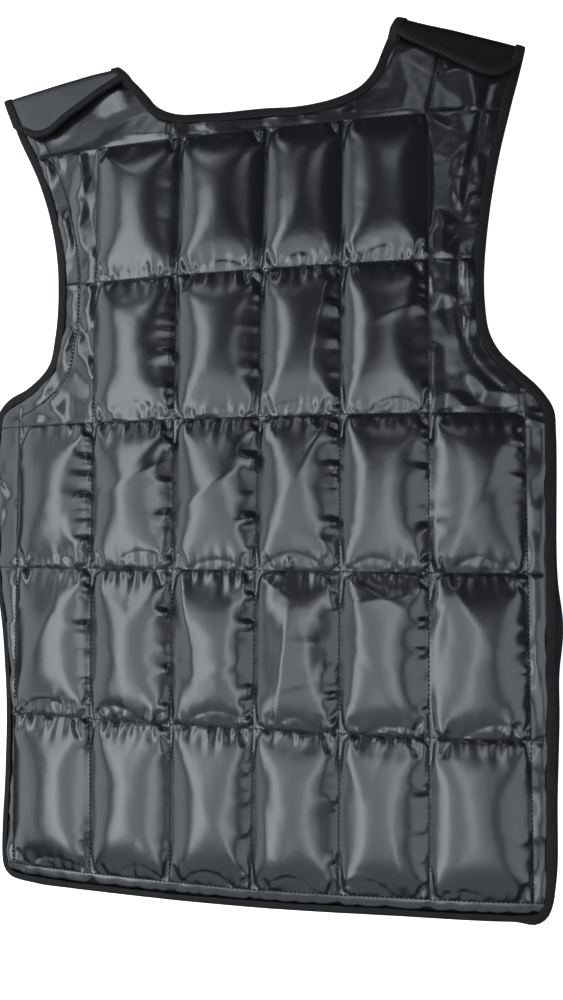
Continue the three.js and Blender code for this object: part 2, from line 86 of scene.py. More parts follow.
ARCH_MIDDLE_X = -6.0
ARCH_HALF_WIDTH = 233.0
ARCH_MIDDLE_Y = 30.0
ARCH_HALF_LENGTH = 340.0
ARCH_DROOP = 0.4

# Quilting: upright seams as place and lean over LEAN_SPAN, level seams as heights
COLUMN_SEAMS = [(-210, -8), (-137.5, -6), (-66.5, -1.5), (2.5, 3), (67, 1), (133.5, 2), (204.5, 0)]
LEAN_SPAN = 300.0
ROW_SEAMS = [300, 180, 60, -60, -180, -302]
HEM_SEAM_X = [-205, 0, 110, 200]
HEM_SEAM_Y = [-300.5, -299.5, -295.5, -293.5]
LAST_COLUMN = len(COLUMN_SEAMS) - 1
LAST_ROW = len(ROW_SEAMS) - 1
ARMHOLE_ROWS = 2  # rows whose outer cells hold no weight
ON_SEAM = 1e-6  # nearer than this is on the seam
POCKET_WIDTH = 70.0  # nominal size of a pocket
POCKET_HEIGHT = 120.0
BORDER_SPAN = 60.0  # one step of the grid beyond the outer seams
TOP_SPAN = 110.0
LEFT_MARGIN = 37.2  # how far the grid goes on beyond the outer seams
TOP_MARGIN = 85.8
RIGHT_MARGIN = 30.0
FRONT_RIGHT_MARGIN = 36.0
FRONT_HEM_MARGIN = 24.0
ARMHOLE_SEAM = 20.0  # from the tape's outer edge to the seam that follows the armhole
UNDERARM_Y = 78.0
YOKE_SEAM_X = 135.5
YOKE_SEAM_LEAN = 0.2

# Outer edges in plan, on the edge of the tape
LEFT_ARMHOLE = [
    (-226, 324), (-204, 282), (-189, 243), (-180, 205),
    (-177, 168), (-178.5, 136), (-184, 111), (-203, 94),
]
LEFT_SIDE = [
    (-224, 85), (-235, 74), (-238, 58), (-236, 0), (-232, -58),
    (-221, -116), (-214.5, -170), (-213, -225), (-214, -280),
]
HEM = [
    (-213, -298), (-210.5, -306), (-204, -311.5), (-195, -313.5), (-100, -314),
    (0, -313), (110, -309), (196, -307),
]
FRONT_HEM = [
    (-212.5, -298), (-206, -309), (-200, -316), (-191, -320), (-100, -320),
    (0, -319), (110, -315), (160, -313.5), (194, -312.5), (207, -313), (216, -306),
]
RIGHT_SIDE = [
    (210, -305), (217, -297), (220, -282), (222, -222), (224, -150),
    (225, -50), (226.5, 45), (225, 65), (216, 79),
]
RIGHT_ARMHOLE = [
    (201, 93), (187, 107), (179.5, 122), (176.5, 145),
    (176.5, 172), (181, 216), (189, 262), (198, 300),
]
BACK_NECK = [
    (99, 357), (93, 342), (82, 329), (64, 321), (33, 317),
    (0, 318.5), (-40, 319.5), (-74, 323), (-91, 332), (-99, 342),
]
FRONT_NECK = [
    (-96, 322), (-80, 288), (-56, 258), (-28, 242), (2, 237),
    (32, 243), (58, 262), (80, 296), (93, 330),
]
FRONT_RIGHT_SIDE = [
    (222, -280), (224, -222), (226.5, -165), (227, -135), (230.5, -100),
    (227.5, -66), (227, -45), (228.5, 45), (227, 65), (218, 79),
]
FRONT_ARMHOLE_IN = 3.0
RUN_STEP = 4.0  # between the points of an outline
CURVE_POINTS = 16  # worked out between two given points

# Shoulders: ends of the fold, slants of the two edges, and the flap's depth along the fold
LEFT_SHOULDER = {
    "neck": (-130, 376), "tip": (-243, 363), "neck_slant": 0.75, "arm_slant": 0.32, "climb": 18.5,
    "along": [0, 0.09, 0.24, 0.42, 0.6, 0.72, 0.8, 0.87, 0.92, 0.96, 1],
    "depth": [17, 20, 25, 32, 40, 46.5, 50, 48.5, 44.5, 39.5, 33],
}
RIGHT_SHOULDER = {
    "neck": (113, 388), "tip": (211, 352), "neck_slant": 0.09, "arm_slant": -0.1, "climb": 22.6,
    "along": [0, 0.1, 0.25, 0.45, 0.64, 0.76, 0.85, 0.91, 0.96, 1],
    "depth": [17, 21, 24, 28, 32, 34, 33, 29, 23, 16],
}
BACK_END_AT_NECK = 24.5
BACK_END_AT_ARM = 14.0
YOKE_END_SHARE = 0.04  # where the yokes' satin ends under the flaps
YOKE_END_DEPTH = 15.0
JOIN_DEPTH = 30.0
TURN_DEPTH = 14.0  # where the cloth from the front begins to turn up
FOLD_READ_AT = 10.0  # depth at which the height of the fold is read
FLAP_SETTLE = 12.0  # length over which the flap comes down on the yoke
FLAP_HALF = 0.9
FLAP_ROWS = (5, 14, 14)  # under the fold, round it and on the flap
FLAP_COLUMNS = 45
FLAP_RIPPLE = 0.7
FLAP_RIPPLE_PITCH = 24.0
FLAP_RIPPLE_SPAN = 110.0
FLAP_TAPE_START = 0.05
FLAP_TAPE_END = 0.965
FLAP_TAPE_POINTS = 11
FOLD_TAPE_ROWS = (3, 12, 5)  # as for the flap

# Sewing and filling
QUILT_PITCH = 2.0
CLOTH_SCALE = 0.01  # the cloth is simulated at ten times its size
CLOTH_FRAMES = 24
SEWN_FRAME = 12
FULL_PRESSURE = 10.0
CLOTH_STIFFNESS = 80.0
BENDING = 4.0
START_CROWN = 2.5
COLUMN_EASE = 0.052  # extra width that is cut for each column of pockets, as a share
ROW_EASE = 0.018
MOST_GROWTH = 0.12  # further looseness beside the seams
SIDE_GROWTH = 0.05
SIDE_GROWTH_REACH = 7.0
END_GROWTH = 0.03
END_GROWTH_REACH = 5.0
END_SLACK = 0.75  # how much less the pockets are filled at their ends
END_SLACK_REACH = 14.0
SEAM_CROWDING = 0.3  # how much finer the grid is at the seams
LOWEST = -1.2  # from the seam line
LINING_PITCH = 9.0
FRONT_PITCH = 4.5
FRONT_TOP_PITCH = 6.0
RIM_CATCH = 0.9  # share of the pitch within which points are drawn in to the rim

# Folds on the seams: ranges of place along the seam, turn, length and width, and of height as a share
GATHER = {"place": (0.04, 0.97), "turn": (-0.35, 0.35), "length": (5, 11), "width": (1.5, 2.4),
          "height": (0.2, 1.0)}
PUCKER = {"place": (0.03, 0.97), "turn": (-0.5, 0.5), "length": (5, 16), "width": (1.8, 4.2),
          "height": (0.2, 1.1)}
LEFT_PUCKER = {"place": (0.08, 0.92), "turn": (-0.5, 0.5), "length": (8, 16), "width": (2.0, 3.5),
               "height": (0.0, 0.5)}
CORNER_FOLD = {"turn": (-0.5, 0.5), "length": (35, 80), "width": (3, 6), "height": (0.0, 1.0)}
GATHER_HEIGHT = 2.2
GATHER_PITCH = 6.5
PUCKER_HEIGHT = 3.0
PUCKER_PITCH = 10.5
LEFT_PUCKERS = 3
CORNER_HEIGHT = 0.8
CORNER_FOLDS = 2
RIDGE_PEAK = 0.35  # where a fold is highest, as a share of its length
RIDGE_START = 0.7  # share of its width at which a fold starts
RIDGE_SPREAD = 0.6  # and by which it widens to its end
LIP_DEPTH = 1.3
LIP_WIDTH = 2.0
LIP_HALF = (0.24, 0.42)  # as shares of the pocket's width
LIP_BOW = (7, 14)
LIP_STRENGTH = (0.5, 1.0)
ROW_GATHERS = [0.5, 1.0, 0.75, 1.0, 1.2, 0.6]  # strength along each level seam
ROW_PUCKERS = [0.1, 0.6, 0.95, 0.9, 0.35]  # strength along the upright seams in each row

# Loose cloth: steps across and down between its high and low points, and their height
SIDE_CELLS = (14, 15, 2.4)
ARMHOLE_STRIPS = (15, 17, 1.7)
LEFT_STRIP = (26, 9, 3.0)
RIGHT_STRIP = (26, 15, 3.0)
NECK_STRIP = (9, 16, 2.2)
YOKES = (27, 24, 2.5)
POCKET_FACETS = (27, 36)
KNOT_SCATTER = 0.4  # as a share of a step
ROW_CREASES = [0.4, 0.7, 1.2, 1.5, 0.9]  # height of the flat facets in the pockets of each row
NECK_STRIP_HALF = 78.0
SEAM_RAMP = 3.5  # over which loose cloth comes up from a seam
CREASE_RAMP = 12.0  # over which the creases of a pocket come up from its seams
TAPE_RAMP = 4.5  # over which the satin comes up from under the tape
RAMP_UNDER_TAPE = 1.0  # how far under the tape that begins
HELD_PAST_TAPE = 0.6  # how far out from under the tape the satin is still held
UNDER_TAPE = 0.9  # how far the satin lies below the seams where the tape covers it
GROOVE_WIDTH = 2.6
GROOVE_DEPTH = 1.0
GROOVE_CALM = 0.8  # how much of the loose cloth's height a groove takes away
FINE_HEIGHT = 0.12
FINE_PITCH = 6.0
LONG_FOLD_WIDTH = 6.0
LONG_FOLD_LIFT = 0.7
# Long folds: row and column of the pocket, start as shares across and down, angle, length, height
LONG_FOLDS = [
    (0, 1, 0.05, 0.05, -40, 35, 2.5), (1, 3, 0.85, 0.05, -100, 70, 3.0), (1, 4, 0.95, 0.30, 200, 40, 2.5),
    (2, 1, 1.00, 0.28, 205, 45, 3.0), (2, 2, 0.95, 0.30, 213, 80, 2.5), (2, 3, 0.85, 0.02, -115, 38, 3.0),
    (2, 3, 1.00, 0.85, 160, 25, 3.0), (3, 2, 0.15, 0.05, -80, 60, 2.5), (3, 2, 1.00, 0.55, 200, 45, 3.0),
    (3, 3, 0.05, 0.03, -35, 42, 3.0), (3, 3, 0.45, 0.20, -97, 90, 3.0), (3, 3, 1.00, 0.45, 180, 40, 4.0),
    (3, 3, 1.00, 0.62, 195, 40, 3.0), (3, 4, 0.03, 0.03, -28, 50, 3.0), (3, 4, 0.00, 0.22, 10, 42, 3.0),
    (3, 5, 0.20, 0.05, -60, 45, 2.0), (4, 2, 0.95, 0.90, 120, 40, 2.5), (4, 3, 0.30, 1.00, 80, 40, 2.5),
    (4, 4, 0.75, 1.00, 100, 40, 2.5),
]

# Satin below the hem's stitches: scallops that are drawn in at the upright seams
HEM_STEPS = 9
HEM_OVERRUN = 1.12  # the hem's rows go on this far, as a share of its width
HEM_TUCK = 1.02
HEM_WIDTH = 6.08
HEM_SCALLOP = 2.128
HEM_SCALLOP_PITCH = 17.0
HEM_SCALLOP_SHIFT = 0.8  # irregularity of the scallops
HEM_NOTCH = 2.28
HEM_NOTCH_WIDTH = 3.0
HEM_RISE = 0.45
HEM_CRINKLE = 0.6
HEM_CRINKLE_PITCH = 7.0
HEM_FALL = 1.1  # how far the hem slopes down to its edge

# Front, pressed flat by the floor
FRONT_LOWEST = 0.3
FRONT_PRESSED = 2.2  # how soon a pad is flat, from its seams inwards
FRONT_CLEAR = 12.0  # from the edge to the pads
FRONT_RAMP = 14.0
FRONT_GATHER = 0.5
FRONT_GATHER_CLEAR = 10.0
FRONT_GATHER_PITCH = 6.0
FRONT_GATHER_CROWN = 0.4  # gathers lie where the pads are lower than this

# Stitches
STITCH_LENGTH = 2.5
STITCH_STEP = 3.4
STITCH_RADIUS = 0.5
STITCH_SIDES = 6
STITCH_PROFILE = [(-0.5, 0.35), (-0.3, 1.0), (0.3, 1.0), (0.5, 0.35)]  # place along it, thickness
STITCH_RAISED = 0.15
SEAM_STEP = 1.5
LEVEL_CLEAR = 5.0  # from the outline to the ends of the stitched seams
UPRIGHT_CLEAR = 9.0
ARMHOLE_CLEAR = ARMHOLE_SEAM - 1.5
PLAN_HALF = 250
LOWEST_STITCH = -306
YOKE_SEAM_TOP = 360

# Lights: place, aim, width, height and power
LIGHT_COLOUR = (0.885, 0.945, 1.0)
LIGHTS = {
    "window": ((-0.88, -0.125, 1.35), (0, -0.125, 0), 2.55, 0.5, 15.4),
    "upper_window": ((-0.88, 2.05, 1.35), (0, 2.05, 0), 0.8, 0.5, 3.0),
    "second_window": ((0.33, -0.38, 1.4), (0, -0.38, 0), 1.85, 0.28, 2.9),
    "ceiling": ((0.1, -0.6, 2.0), (0.1, -0.3, 0), 2.2, 1.9, 18),
    "left_wall": ((-1.5, 0.0, 0.52), (0, 0.0, 0.1), 3.0, 1.0, 12),
    "right_wall": ((1.4, -0.42, 0.8), (0.1, -0.42, 0.05), 1.55, 1.0, 6.3),
    "far_window": ((0.35, 1.25, 1.35), (0.15, 0.3, 0), 0.5, 0.3, 0.75),
    "near_wall": ((0.0, -1.7, 1.05), (0, 0.0, 0.1), 2.4, 1.4, 5.5),
}
FLOOR_HALF = 4.0
FLOOR_DROP = 0.0005


def add_object(name, data):
    made = bpy.data.objects.new(name, data)
    bpy.context.scene.collection.objects.link(made)
    return made


def make_camera():
    data = bpy.data.cameras.new("camera")
    data.sensor_fit = "AUTO"
    data.sensor_width = SENSOR
    data.lens = CAMERA_LENS
    data.clip_start = NEAREST_SEEN
    camera = add_object("camera", data)
    turn = Matrix((CAMERA_RIGHT, CAMERA_UP, CAMERA_BACK)).transposed().to_4x4()
    camera.matrix_world = Matrix.Translation(CAMERA_PLACE) @ turn
    bpy.context.scene.camera = camera


make_camera()


# Plan geometry
def back_plane(x, y):
    """Middle surface of the back's cloth."""
    across = np.abs(x - ARCH_MIDDLE_X) / ARCH_HALF_WIDTH
    lengthwise = (y - ARCH_MIDDLE_Y) / ARCH_HALF_LENGTH
    return EDGE_PLANE + ARCH_RISE * (1 - ARCH_DROOP * lengthwise**2) * (1 - across**3)


def flap_plane(x, y):
    """Middle surface of a shoulder flap that lies on the back."""
    return back_plane(x, y) + FLAP_LIFT


def front_plane(x, y):
    return FRONT_PLANE


def spaced(points, step):
    """Points at even steps along a line of points."""
    points = np.asarray(points, float)
    lengths = np.linalg.norm(np.diff(points, axis=0), axis=1)
    travelled = np.concatenate([[0], np.cumsum(lengths)])
    count = max(2, int(round(travelled[-1] / step)) + 1)
    wanted = np.linspace(0, travelled[-1], count)
    return np.stack([np.interp(wanted, travelled, points[:, i]) for i in range(points.shape[1])], -1)


def between(t, low, high, first, last):
    """Place at t on the line that is at first when t is low, and at last when t is high."""
    return (high - t) / (high - low) * first + (t - low) / (high - low) * last


def smooth_run(points, step):
    """Smooth line through the points, at even steps."""
    points = np.asarray(points, float)
    padded = np.vstack([2 * points[0] - points[1], points, 2 * points[-1] - points[-2]])
    pieces = []
    for a, b, c, d in zip(padded, padded[1:], padded[2:], padded[3:]):
        t1 = math.sqrt(np.linalg.norm(b - a))
        t2 = t1 + math.sqrt(np.linalg.norm(c - b))
        t3 = t2 + math.sqrt(np.linalg.norm(d - c))
        t = np.linspace(t1, t2, CURVE_POINTS, endpoint=False)[:, None]
        ab = between(t, 0, t1, a, b)
        bc = between(t, t1, t2, b, c)
        cd = between(t, t2, t3, c, d)
        abc = between(t, 0, t2, ab, bc)
        bcd = between(t, t1, t3, bc, cd)
        pieces.append(between(t, t1, t2, abc, bcd))
    return spaced(np.vstack(pieces + [points[-1:]]), step)


def inward_of(run):
    """Unit direction to the left of a run, which is into the cloth."""
    way = np.gradient(run, axis=0)
    way /= np.linalg.norm(way, axis=1, keepdims=True)
    return np.stack([-way[:, 1], way[:, 0]], -1)


def moved(run, distance):
    return run + inward_of(run) * distance


def nearest_on(run, x, y, closed, batch=4000):
    """Distance to a line, the nearest place on it, and how far along it that is as a share."""
    ends = np.vstack([run, run[:1]]) if closed else run
    start = ends[:-1]
    side = np.diff(ends, axis=0)
    length_squared = (side**2).sum(1)
    points = np.stack([x, y], -1)
    found = []
    for first in range(0, len(points), batch):
        some = points[first:first + batch]
        offset = some[:, None] - start[None]
        share = np.clip((offset * side[None]).sum(2) / length_squared[None], 0, 1)
        foot = start[None] + side[None] * share[..., None]
        away = np.linalg.norm(some[:, None] - foot, axis=2)
        best = away.argmin(1)
        pick = (np.arange(len(some)), best)
        found.append(np.column_stack([away[pick], foot[pick], (best + share[pick]) / len(side)]))
    found = np.vstack(found)
    return found[:, 0], found[:, 1:3], found[:, 3]


def inside(loop, x, y):
    """Whether points lie inside a closed outline."""
    hit = np.zeros(len(x), bool)
    for (ax, ay), (bx, by) in zip(loop, np.roll(loop, -1, axis=0)):
        if ay == by:
            continue
        crosses = (ay > y) != (by > y)
        hit ^= crosses & (x < (bx - ax) * (y - ay) / (by - ay) + ax)
    return hit


class Shoulder:
    """Cloth of a shoulder: it comes from the front, goes round the fold and lies on the back's yoke."""

    def __init__(self, values):
        self.neck = np.array(values["neck"], float)
        tip = np.array(values["tip"], float)
        self.span = np.linalg.norm(tip - self.neck)
        self.along = (tip - self.neck) / self.span
        sign = 1 if self.along[0] > 0 else -1
        self.out = np.array([-self.along[1], self.along[0]]) * sign
        self.neck_slant = values["neck_slant"]
        self.arm_slant = values["arm_slant"]
        self.climb = values["climb"]
        self.flap_along = values["along"]
        self.flap_depth = values["depth"]

    def plan(self, share, depth, margin=EDGE_TO_CLOTH):
        start = margin - self.neck_slant * depth
        end = self.span - margin - self.arm_slant * depth
        return self.neck + self.along * (start + (end - start) * share) - self.out * depth

    def radius(self, share):
        return (flap_plane(*self.plan(share, FOLD_READ_AT)) - FRONT_PLANE) / 2

    def fold_depth(self, share):
        return self.radius(share) + TAPE_HALF

    def depth_at(self, share):
        return np.interp(share, self.flap_along, self.flap_depth)

    def under(self, share, depth, raised):
        return np.array([*self.plan(share, depth), FRONT_PLANE - raised])

    def fold(self, share, angle, raised):
        radius = self.radius(share)
        place = self.plan(share, self.fold_depth(share) - (radius + raised) * math.sin(angle))
        return np.array([*place, FRONT_PLANE + radius - (radius + raised) * math.cos(angle)])

    def top(self, share, part, raised):
        start = self.fold_depth(share)
        depth = start + (self.depth_at(share) - start) * part
        place = self.plan(share, depth)
        lift = 2 * self.radius(share) + FRONT_PLANE - flap_plane(*self.plan(share, start))
        settle = max(0, 1 - (depth - start) / FLAP_SETTLE)
        return np.array([*place, flap_plane(*place) + lift * settle + raised])

    def rows(self, under_steps, fold_steps, flap_steps):
        """Rows of the cloth from the front panel to the flap's end, each taking a share and a height."""
        def row_of(part_of_cloth, at):
            return lambda share, raised: part_of_cloth(share, at, raised)

        depths = np.linspace(JOIN_DEPTH, TURN_DEPTH, under_steps, endpoint=False)
        angles = np.linspace(0, math.pi, fold_steps + 1)
        parts = np.linspace(0, 1, flap_steps + 1)[1:]
        return (
            [row_of(self.under, depth) for depth in depths]
            + [row_of(self.fold, angle) for angle in angles]
            + [row_of(self.top, part) for part in parts]
        )


left_shoulder = Shoulder(LEFT_SHOULDER)
right_shoulder = Shoulder(RIGHT_SHOULDER)


def shifted(points, dx):
    return [(x + dx, y) for x, y in points]


# Outlines, counter-clockwise seen from above
back_edge = smooth_run(
    [
        left_shoulder.plan(1, BACK_END_AT_ARM, 0), *LEFT_ARMHOLE, *LEFT_SIDE, *HEM,
        *RIGHT_SIDE, *RIGHT_ARMHOLE, right_shoulder.plan(1, BACK_END_AT_ARM, 0),
    ],
    RUN_STEP,
)
back_neck = smooth_run(
    [right_shoulder.plan(0, BACK_END_AT_NECK, 0), *BACK_NECK, left_shoulder.plan(0, BACK_END_AT_NECK, 0)],
    RUN_STEP,
)
front_edge = smooth_run(
    [
        left_shoulder.plan(1, JOIN_DEPTH, 0),
        *shifted(LEFT_ARMHOLE[1:], FRONT_ARMHOLE_IN),
        *LEFT_SIDE,
        *FRONT_HEM,
        *FRONT_RIGHT_SIDE,
        *shifted(RIGHT_ARMHOLE[:-1], -FRONT_ARMHOLE_IN),
        right_shoulder.plan(1, JOIN_DEPTH, 0),
    ],
    RUN_STEP,
)
front_neck = smooth_run(
    [left_shoulder.plan(0, JOIN_DEPTH, 0), *FRONT_NECK, right_shoulder.plan(0, JOIN_DEPTH, 0)],
    RUN_STEP,
)[::-1]
back_loop = np.vstack([
    back_edge,
    right_shoulder.plan(YOKE_END_SHARE, YOKE_END_DEPTH, 0),
    back_neck,
    left_shoulder.plan(YOKE_END_SHARE, YOKE_END_DEPTH, 0),
])
front_loop = np.vstack([front_edge, front_neck])


# Noise that is the same in every run
def eased(share):
    """Share from 0 to 1 that starts and ends gently."""
    return share * share * (3 - 2 * share)


def wave_noise(seed, s, pitch):
    """Smooth irregular line between -1 and 1 with about one swing per pitch."""
    knots = np.random.default_rng(seed).uniform(-1, 1, 4096)
    at = (np.asarray(s) / pitch) % (len(knots) - 1)
    low = np.floor(at).astype(int)
    share = eased(at - low)
    return knots[low] * (1 - share) + knots[low + 1] * share


def field_noise(seed, x, y, pitch):
    """Smooth irregular surface between about -1 and 1."""
    knots = np.random.default_rng(seed).uniform(-1, 1, (256, 256))
    ax = (np.asarray(x) / pitch) % (len(knots) - 1)
    ay = (np.asarray(y) / pitch) % (len(knots) - 1)
    ix = np.floor(ax).astype(int)
    iy = np.floor(ay).astype(int)
    fx = eased(ax - ix)
    fy = eased(ay - iy)
    near = knots[iy, ix] * (1 - fx) + knots[iy, ix + 1] * fx
    far = knots[iy + 1, ix] * (1 - fx) + knots[iy + 1, ix + 1] * fx
    return near * (1 - fy) + far * fy


# Meshes
def metres(points):
    points = np.array(points, float)
    points[:, 0] += PLAN_SHIFT_X
    points[:, 1] += PLAN_SHIFT_Y
    return points * MM


def make_piece(name, points, faces, material, uv=None, sharp=None):
    """Smooth-shaded object from points in plan millimetres, creased between the sharp points."""
    mesh = bpy.data.meshes.new(name)
    mesh.from_pydata(metres(points).tolist(), [], [list(map(int, face)) for face in faces])
    if uv is not None:
        layer = mesh.uv_layers.new(name="UVMap")
        corners = np.empty(len(mesh.loops), int)
        mesh.loops.foreach_get("vertex_index", corners)
        layer.data.foreach_set("uv", np.asarray(uv)[corners].ravel())
    mesh.shade_smooth()
    if sharp is not None:
        ends = np.empty(2 * len(mesh.edges), int)
        mesh.edges.foreach_get("vertices", ends)
        mesh.edges.foreach_set("use_edge_sharp", sharp[ends.reshape(-1, 2)].all(1))
    mesh.materials.append(material)
    return add_object(name, mesh)


def stand_for(piece, node):
    """Makes a piece ride on the vest in place of a node."""
    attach(piece, "root")
    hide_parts(node)


def face_outward(piece):
    """Turns the faces of a closed piece outward."""
    work = bmesh.new()
    work.from_mesh(piece.data)
    bmesh.ops.recalc_face_normals(work, faces=work.faces)
    work.to_mesh(piece.data)
    work.free()


# Materials
def new_material(name):
    material = bpy.data.materials.new(name)
    material.use_nodes = True
    tree = material.node_tree
    return material, tree, tree.nodes["Principled BSDF"]


def set_inputs(node, values):
    for key, value in values.items():
        node.inputs[key].default_value = value


def object_place(tree):
    return tree.nodes.new("ShaderNodeTexCoord").outputs["Object"]


def noise(tree, place, scale, detail):
    node = tree.nodes.new("ShaderNodeTexNoise")
    set_inputs(node, {"Scale": scale, "Detail": detail})
    tree.links.new(place, node.inputs["Vector"])
    return node.outputs["Fac"]


def bands(tree, place, scale, distortion, direction):
    node = tree.nodes.new("ShaderNodeTexWave")
    node.bands_direction = direction
    set_inputs(node, {"Scale": scale, "Distortion": distortion})
    tree.links.new(place, node.inputs["Vector"])
    return node.outputs["Fac"]


def colour_between(tree, shader, factor, dark, light):
    ramp = tree.nodes.new("ShaderNodeValToRGB")
    for element, colour, position in zip(ramp.color_ramp.elements, (dark, light), (0.3, 0.7)):
        element.color = (*colour, 1)
        element.position = position
    tree.links.new(factor, ramp.inputs["Fac"])
    tree.links.new(ramp.outputs["Color"], shader.inputs["Base Color"])


def roughness_between(tree, shader, factor, low, high):
    spread = tree.nodes.new("ShaderNodeMapRange")
    set_inputs(spread, {"To Min": low, "To Max": high})
    tree.links.new(factor, spread.inputs["Value"])
    tree.links.new(spread.outputs["Result"], shader.inputs["Roughness"])


def bump_from(tree, height, strength, distance, below=None):
    bump = tree.nodes.new("ShaderNodeBump")
    set_inputs(bump, {"Strength": strength, "Distance": distance})
    tree.links.new(height, bump.inputs["Height"])
    if below is not None:
        tree.links.new(below, bump.inputs["Normal"])
    return bump.outputs["Normal"]


def satin_material(name, dark, light, roughness, gloss, coat):
    """Polyester satin: fine weave, small crinkles, slight changes of colour and gloss."""
    material, tree, shader = new_material(name)
    place = object_place(tree)
    cloud = noise(tree, place, scale=14.0, detail=3.0)
    crinkle = noise(tree, place, scale=160.0, detail=2.0)
    weave = tree.nodes.new("ShaderNodeMath")
    weave.operation = "MULTIPLY"
    for i, direction in enumerate("XY"):
        threads = bands(tree, place, scale=560.0, distortion=0.6, direction=direction)
        tree.links.new(threads, weave.inputs[i])
    colour_between(tree, shader, cloud, dark, light)
    roughness_between(tree, shader, cloud, roughness - 0.03, roughness + 0.05)
    soft = bump_from(tree, crinkle, strength=0.10, distance=0.0010)
    fine = bump_from(tree, weave.outputs["Value"], strength=0.10, distance=0.0001, below=soft)
    tree.links.new(fine, shader.inputs["Normal"])
    set_inputs(shader, {
        "Specular IOR Level": gloss, "Coat Weight": coat, "Coat Roughness": 0.12,
        "Sheen Weight": 0.01, "Sheen Roughness": 0.4,
    })
    return material


def tape_material():
    """Woven polyester tape with ribs across it."""
    material, tree, shader = new_material("binding_tape")
    flat_place = tree.nodes.new("ShaderNodeUVMap")
    flat_place.uv_map = "UVMap"
    place = object_place(tree)
    ribs = bands(tree, flat_place.outputs["UV"], scale=320.0, distortion=0.4, direction="X")
    fuzz = noise(tree, place, scale=900.0, detail=2.0)
    cloud = noise(tree, place, scale=45.0, detail=4.0)
    colour_between(tree, shader, cloud, (0.004, 0.004, 0.0042), (0.009, 0.009, 0.0092))
    roughness_between(tree, shader, fuzz, 0.55, 0.75)
    ribbed = bump_from(tree, ribs, strength=0.35, distance=0.0002)
    fine = bump_from(tree, fuzz, strength=0.2, distance=0.0002, below=ribbed)
    tree.links.new(fine, shader.inputs["Normal"])
    set_inputs(shader, {"Specular IOR Level": 0.22, "Sheen Weight": 0.03, "Sheen Roughness": 0.5})
    return material


def thread_material():
    """Sewing thread with its twist."""
    material, tree, shader = new_material("thread")
    twist = noise(tree, object_place(tree), scale=1500.0, detail=2.0)
    colour_between(tree, shader, twist, (0.006, 0.006, 0.007), (0.02, 0.02, 0.022))
    tree.links.new(bump_from(tree, twist, strength=0.4, distance=0.0002), shader.inputs["Normal"])
    set_inputs(shader, {"Roughness": 0.6})
    return material


SATIN = satin_material(
    "satin", (0.006, 0.0066, 0.0078), (0.010, 0.011, 0.013), roughness=0.245, gloss=1.0, coat=0.2
)
# Satin of the left shoulder flap: the same cloth, with a base colour painted lighter as painted light, and
# rougher
SATIN_PAINTED_LIGHT = satin_material(
    "satin_painted_light", (0.012, 0.0133, 0.014), (0.018, 0.020, 0.0208), roughness=0.40, gloss=1.0, coat=0.1
)
# Satin of the right shoulder flap: the same cloth, with a near-black base colour and little gloss as
# painted shade
SATIN_SHADED = satin_material(
    "satin_painted_shade", (0.003, 0.003, 0.0032), (0.006, 0.006, 0.0064), roughness=0.55, gloss=0.2, coat=0.0
)
TAPE_CLOTH = tape_material()
THREAD = thread_material()


# Quilt grid
def seam_x(index, y):
    place, lean = COLUMN_SEAMS[index]
    return place + lean * y / LEAN_SPAN


def grid_x(column, y):
    seams = np.stack([seam_x(i, y) for i in range(LAST_COLUMN + 1)])
    low = np.clip(np.floor(column).astype(int), 0, LAST_COLUMN - 1)
    left = np.take_along_axis(seams, low[None], 0)[0]
    right = np.take_along_axis(seams, low[None] + 1, 0)[0]
    x = left + (right - left) * (column - low)
    x = np.where(column < 0, seams[0] + column * BORDER_SPAN, x)
    return np.where(column > LAST_COLUMN, seams[-1] + (column - LAST_COLUMN) * BORDER_SPAN, x)


def hem_seam_y(x):
    return np.interp(x, HEM_SEAM_X, HEM_SEAM_Y)


def grid_y(row, column):
    """Height in plan: level seams are straight, but the lowest follows the hem."""
    rough_x = np.interp(column, range(LAST_COLUMN + 1), [place for place, lean in COLUMN_SEAMS])
    y = np.interp(row, range(LAST_ROW + 1), ROW_SEAMS)
    y = np.where(row < 0, ROW_SEAMS[0] - row * TOP_SPAN, y)
    last = np.clip(row - (LAST_ROW - 1), 0, 1)
    y = np.where(row > LAST_ROW - 1, ROW_SEAMS[-2] * (1 - last) + hem_seam_y(rough_x) * last, y)
    return np.where(row > LAST_ROW, hem_seam_y(rough_x) - (row - LAST_ROW) * BORDER_SPAN, y)


def stations(last, pitch, size, before, before_span, after):
    """Grid positions that fall on every seam, closer together beside the seams, and on the margins."""
    per_pocket = int(round(size / pitch))
    even = np.arange(per_pocket) / per_pocket
    crowded = even - SEAM_CROWDING * np.sin(2 * math.pi * even) / (2 * math.pi)
    inner = (np.arange(last)[:, None] + crowded[None]).ravel()
    low = -np.arange(int(before / pitch), 0, -1) * pitch / before_span
    high = last + np.arange(1, int(after / pitch) + 1) * pitch / BORDER_SPAN
    return np.concatenate([low, inner, [last], high])


def row_stations(pitch, hem_margin):
    return stations(LAST_ROW, pitch, POCKET_HEIGHT, TOP_MARGIN, TOP_SPAN, hem_margin)


def column_stations(pitch, right_margin):
    return stations(LAST_COLUMN, pitch, POCKET_WIDTH, LEFT_MARGIN, BORDER_SPAN, right_margin)


def plan_grid(rows, columns):
    """Row, column and place in plan of each point of a grid, and the grid's shape."""
    row, column = np.meshgrid(rows, columns, indexing="ij")
    y = grid_y(row, column)
    x = grid_x(column, y)
    return (*(field.ravel().copy() for field in (row, column, x, y)), x.shape)


def grid_faces(shape, keep):
    index = np.arange(shape[0] * shape[1]).reshape(shape)
    corners = np.stack([index[1:, :-1], index[1:, 1:], index[:-1, 1:], index[:-1, :-1]], -1).reshape(-1, 4)
    corners = corners[keep[corners].all(1)]
    used = np.unique(corners)
    renumber = np.full(shape[0] * shape[1], -1)
    renumber[used] = np.arange(len(used))
    return renumber[corners], used


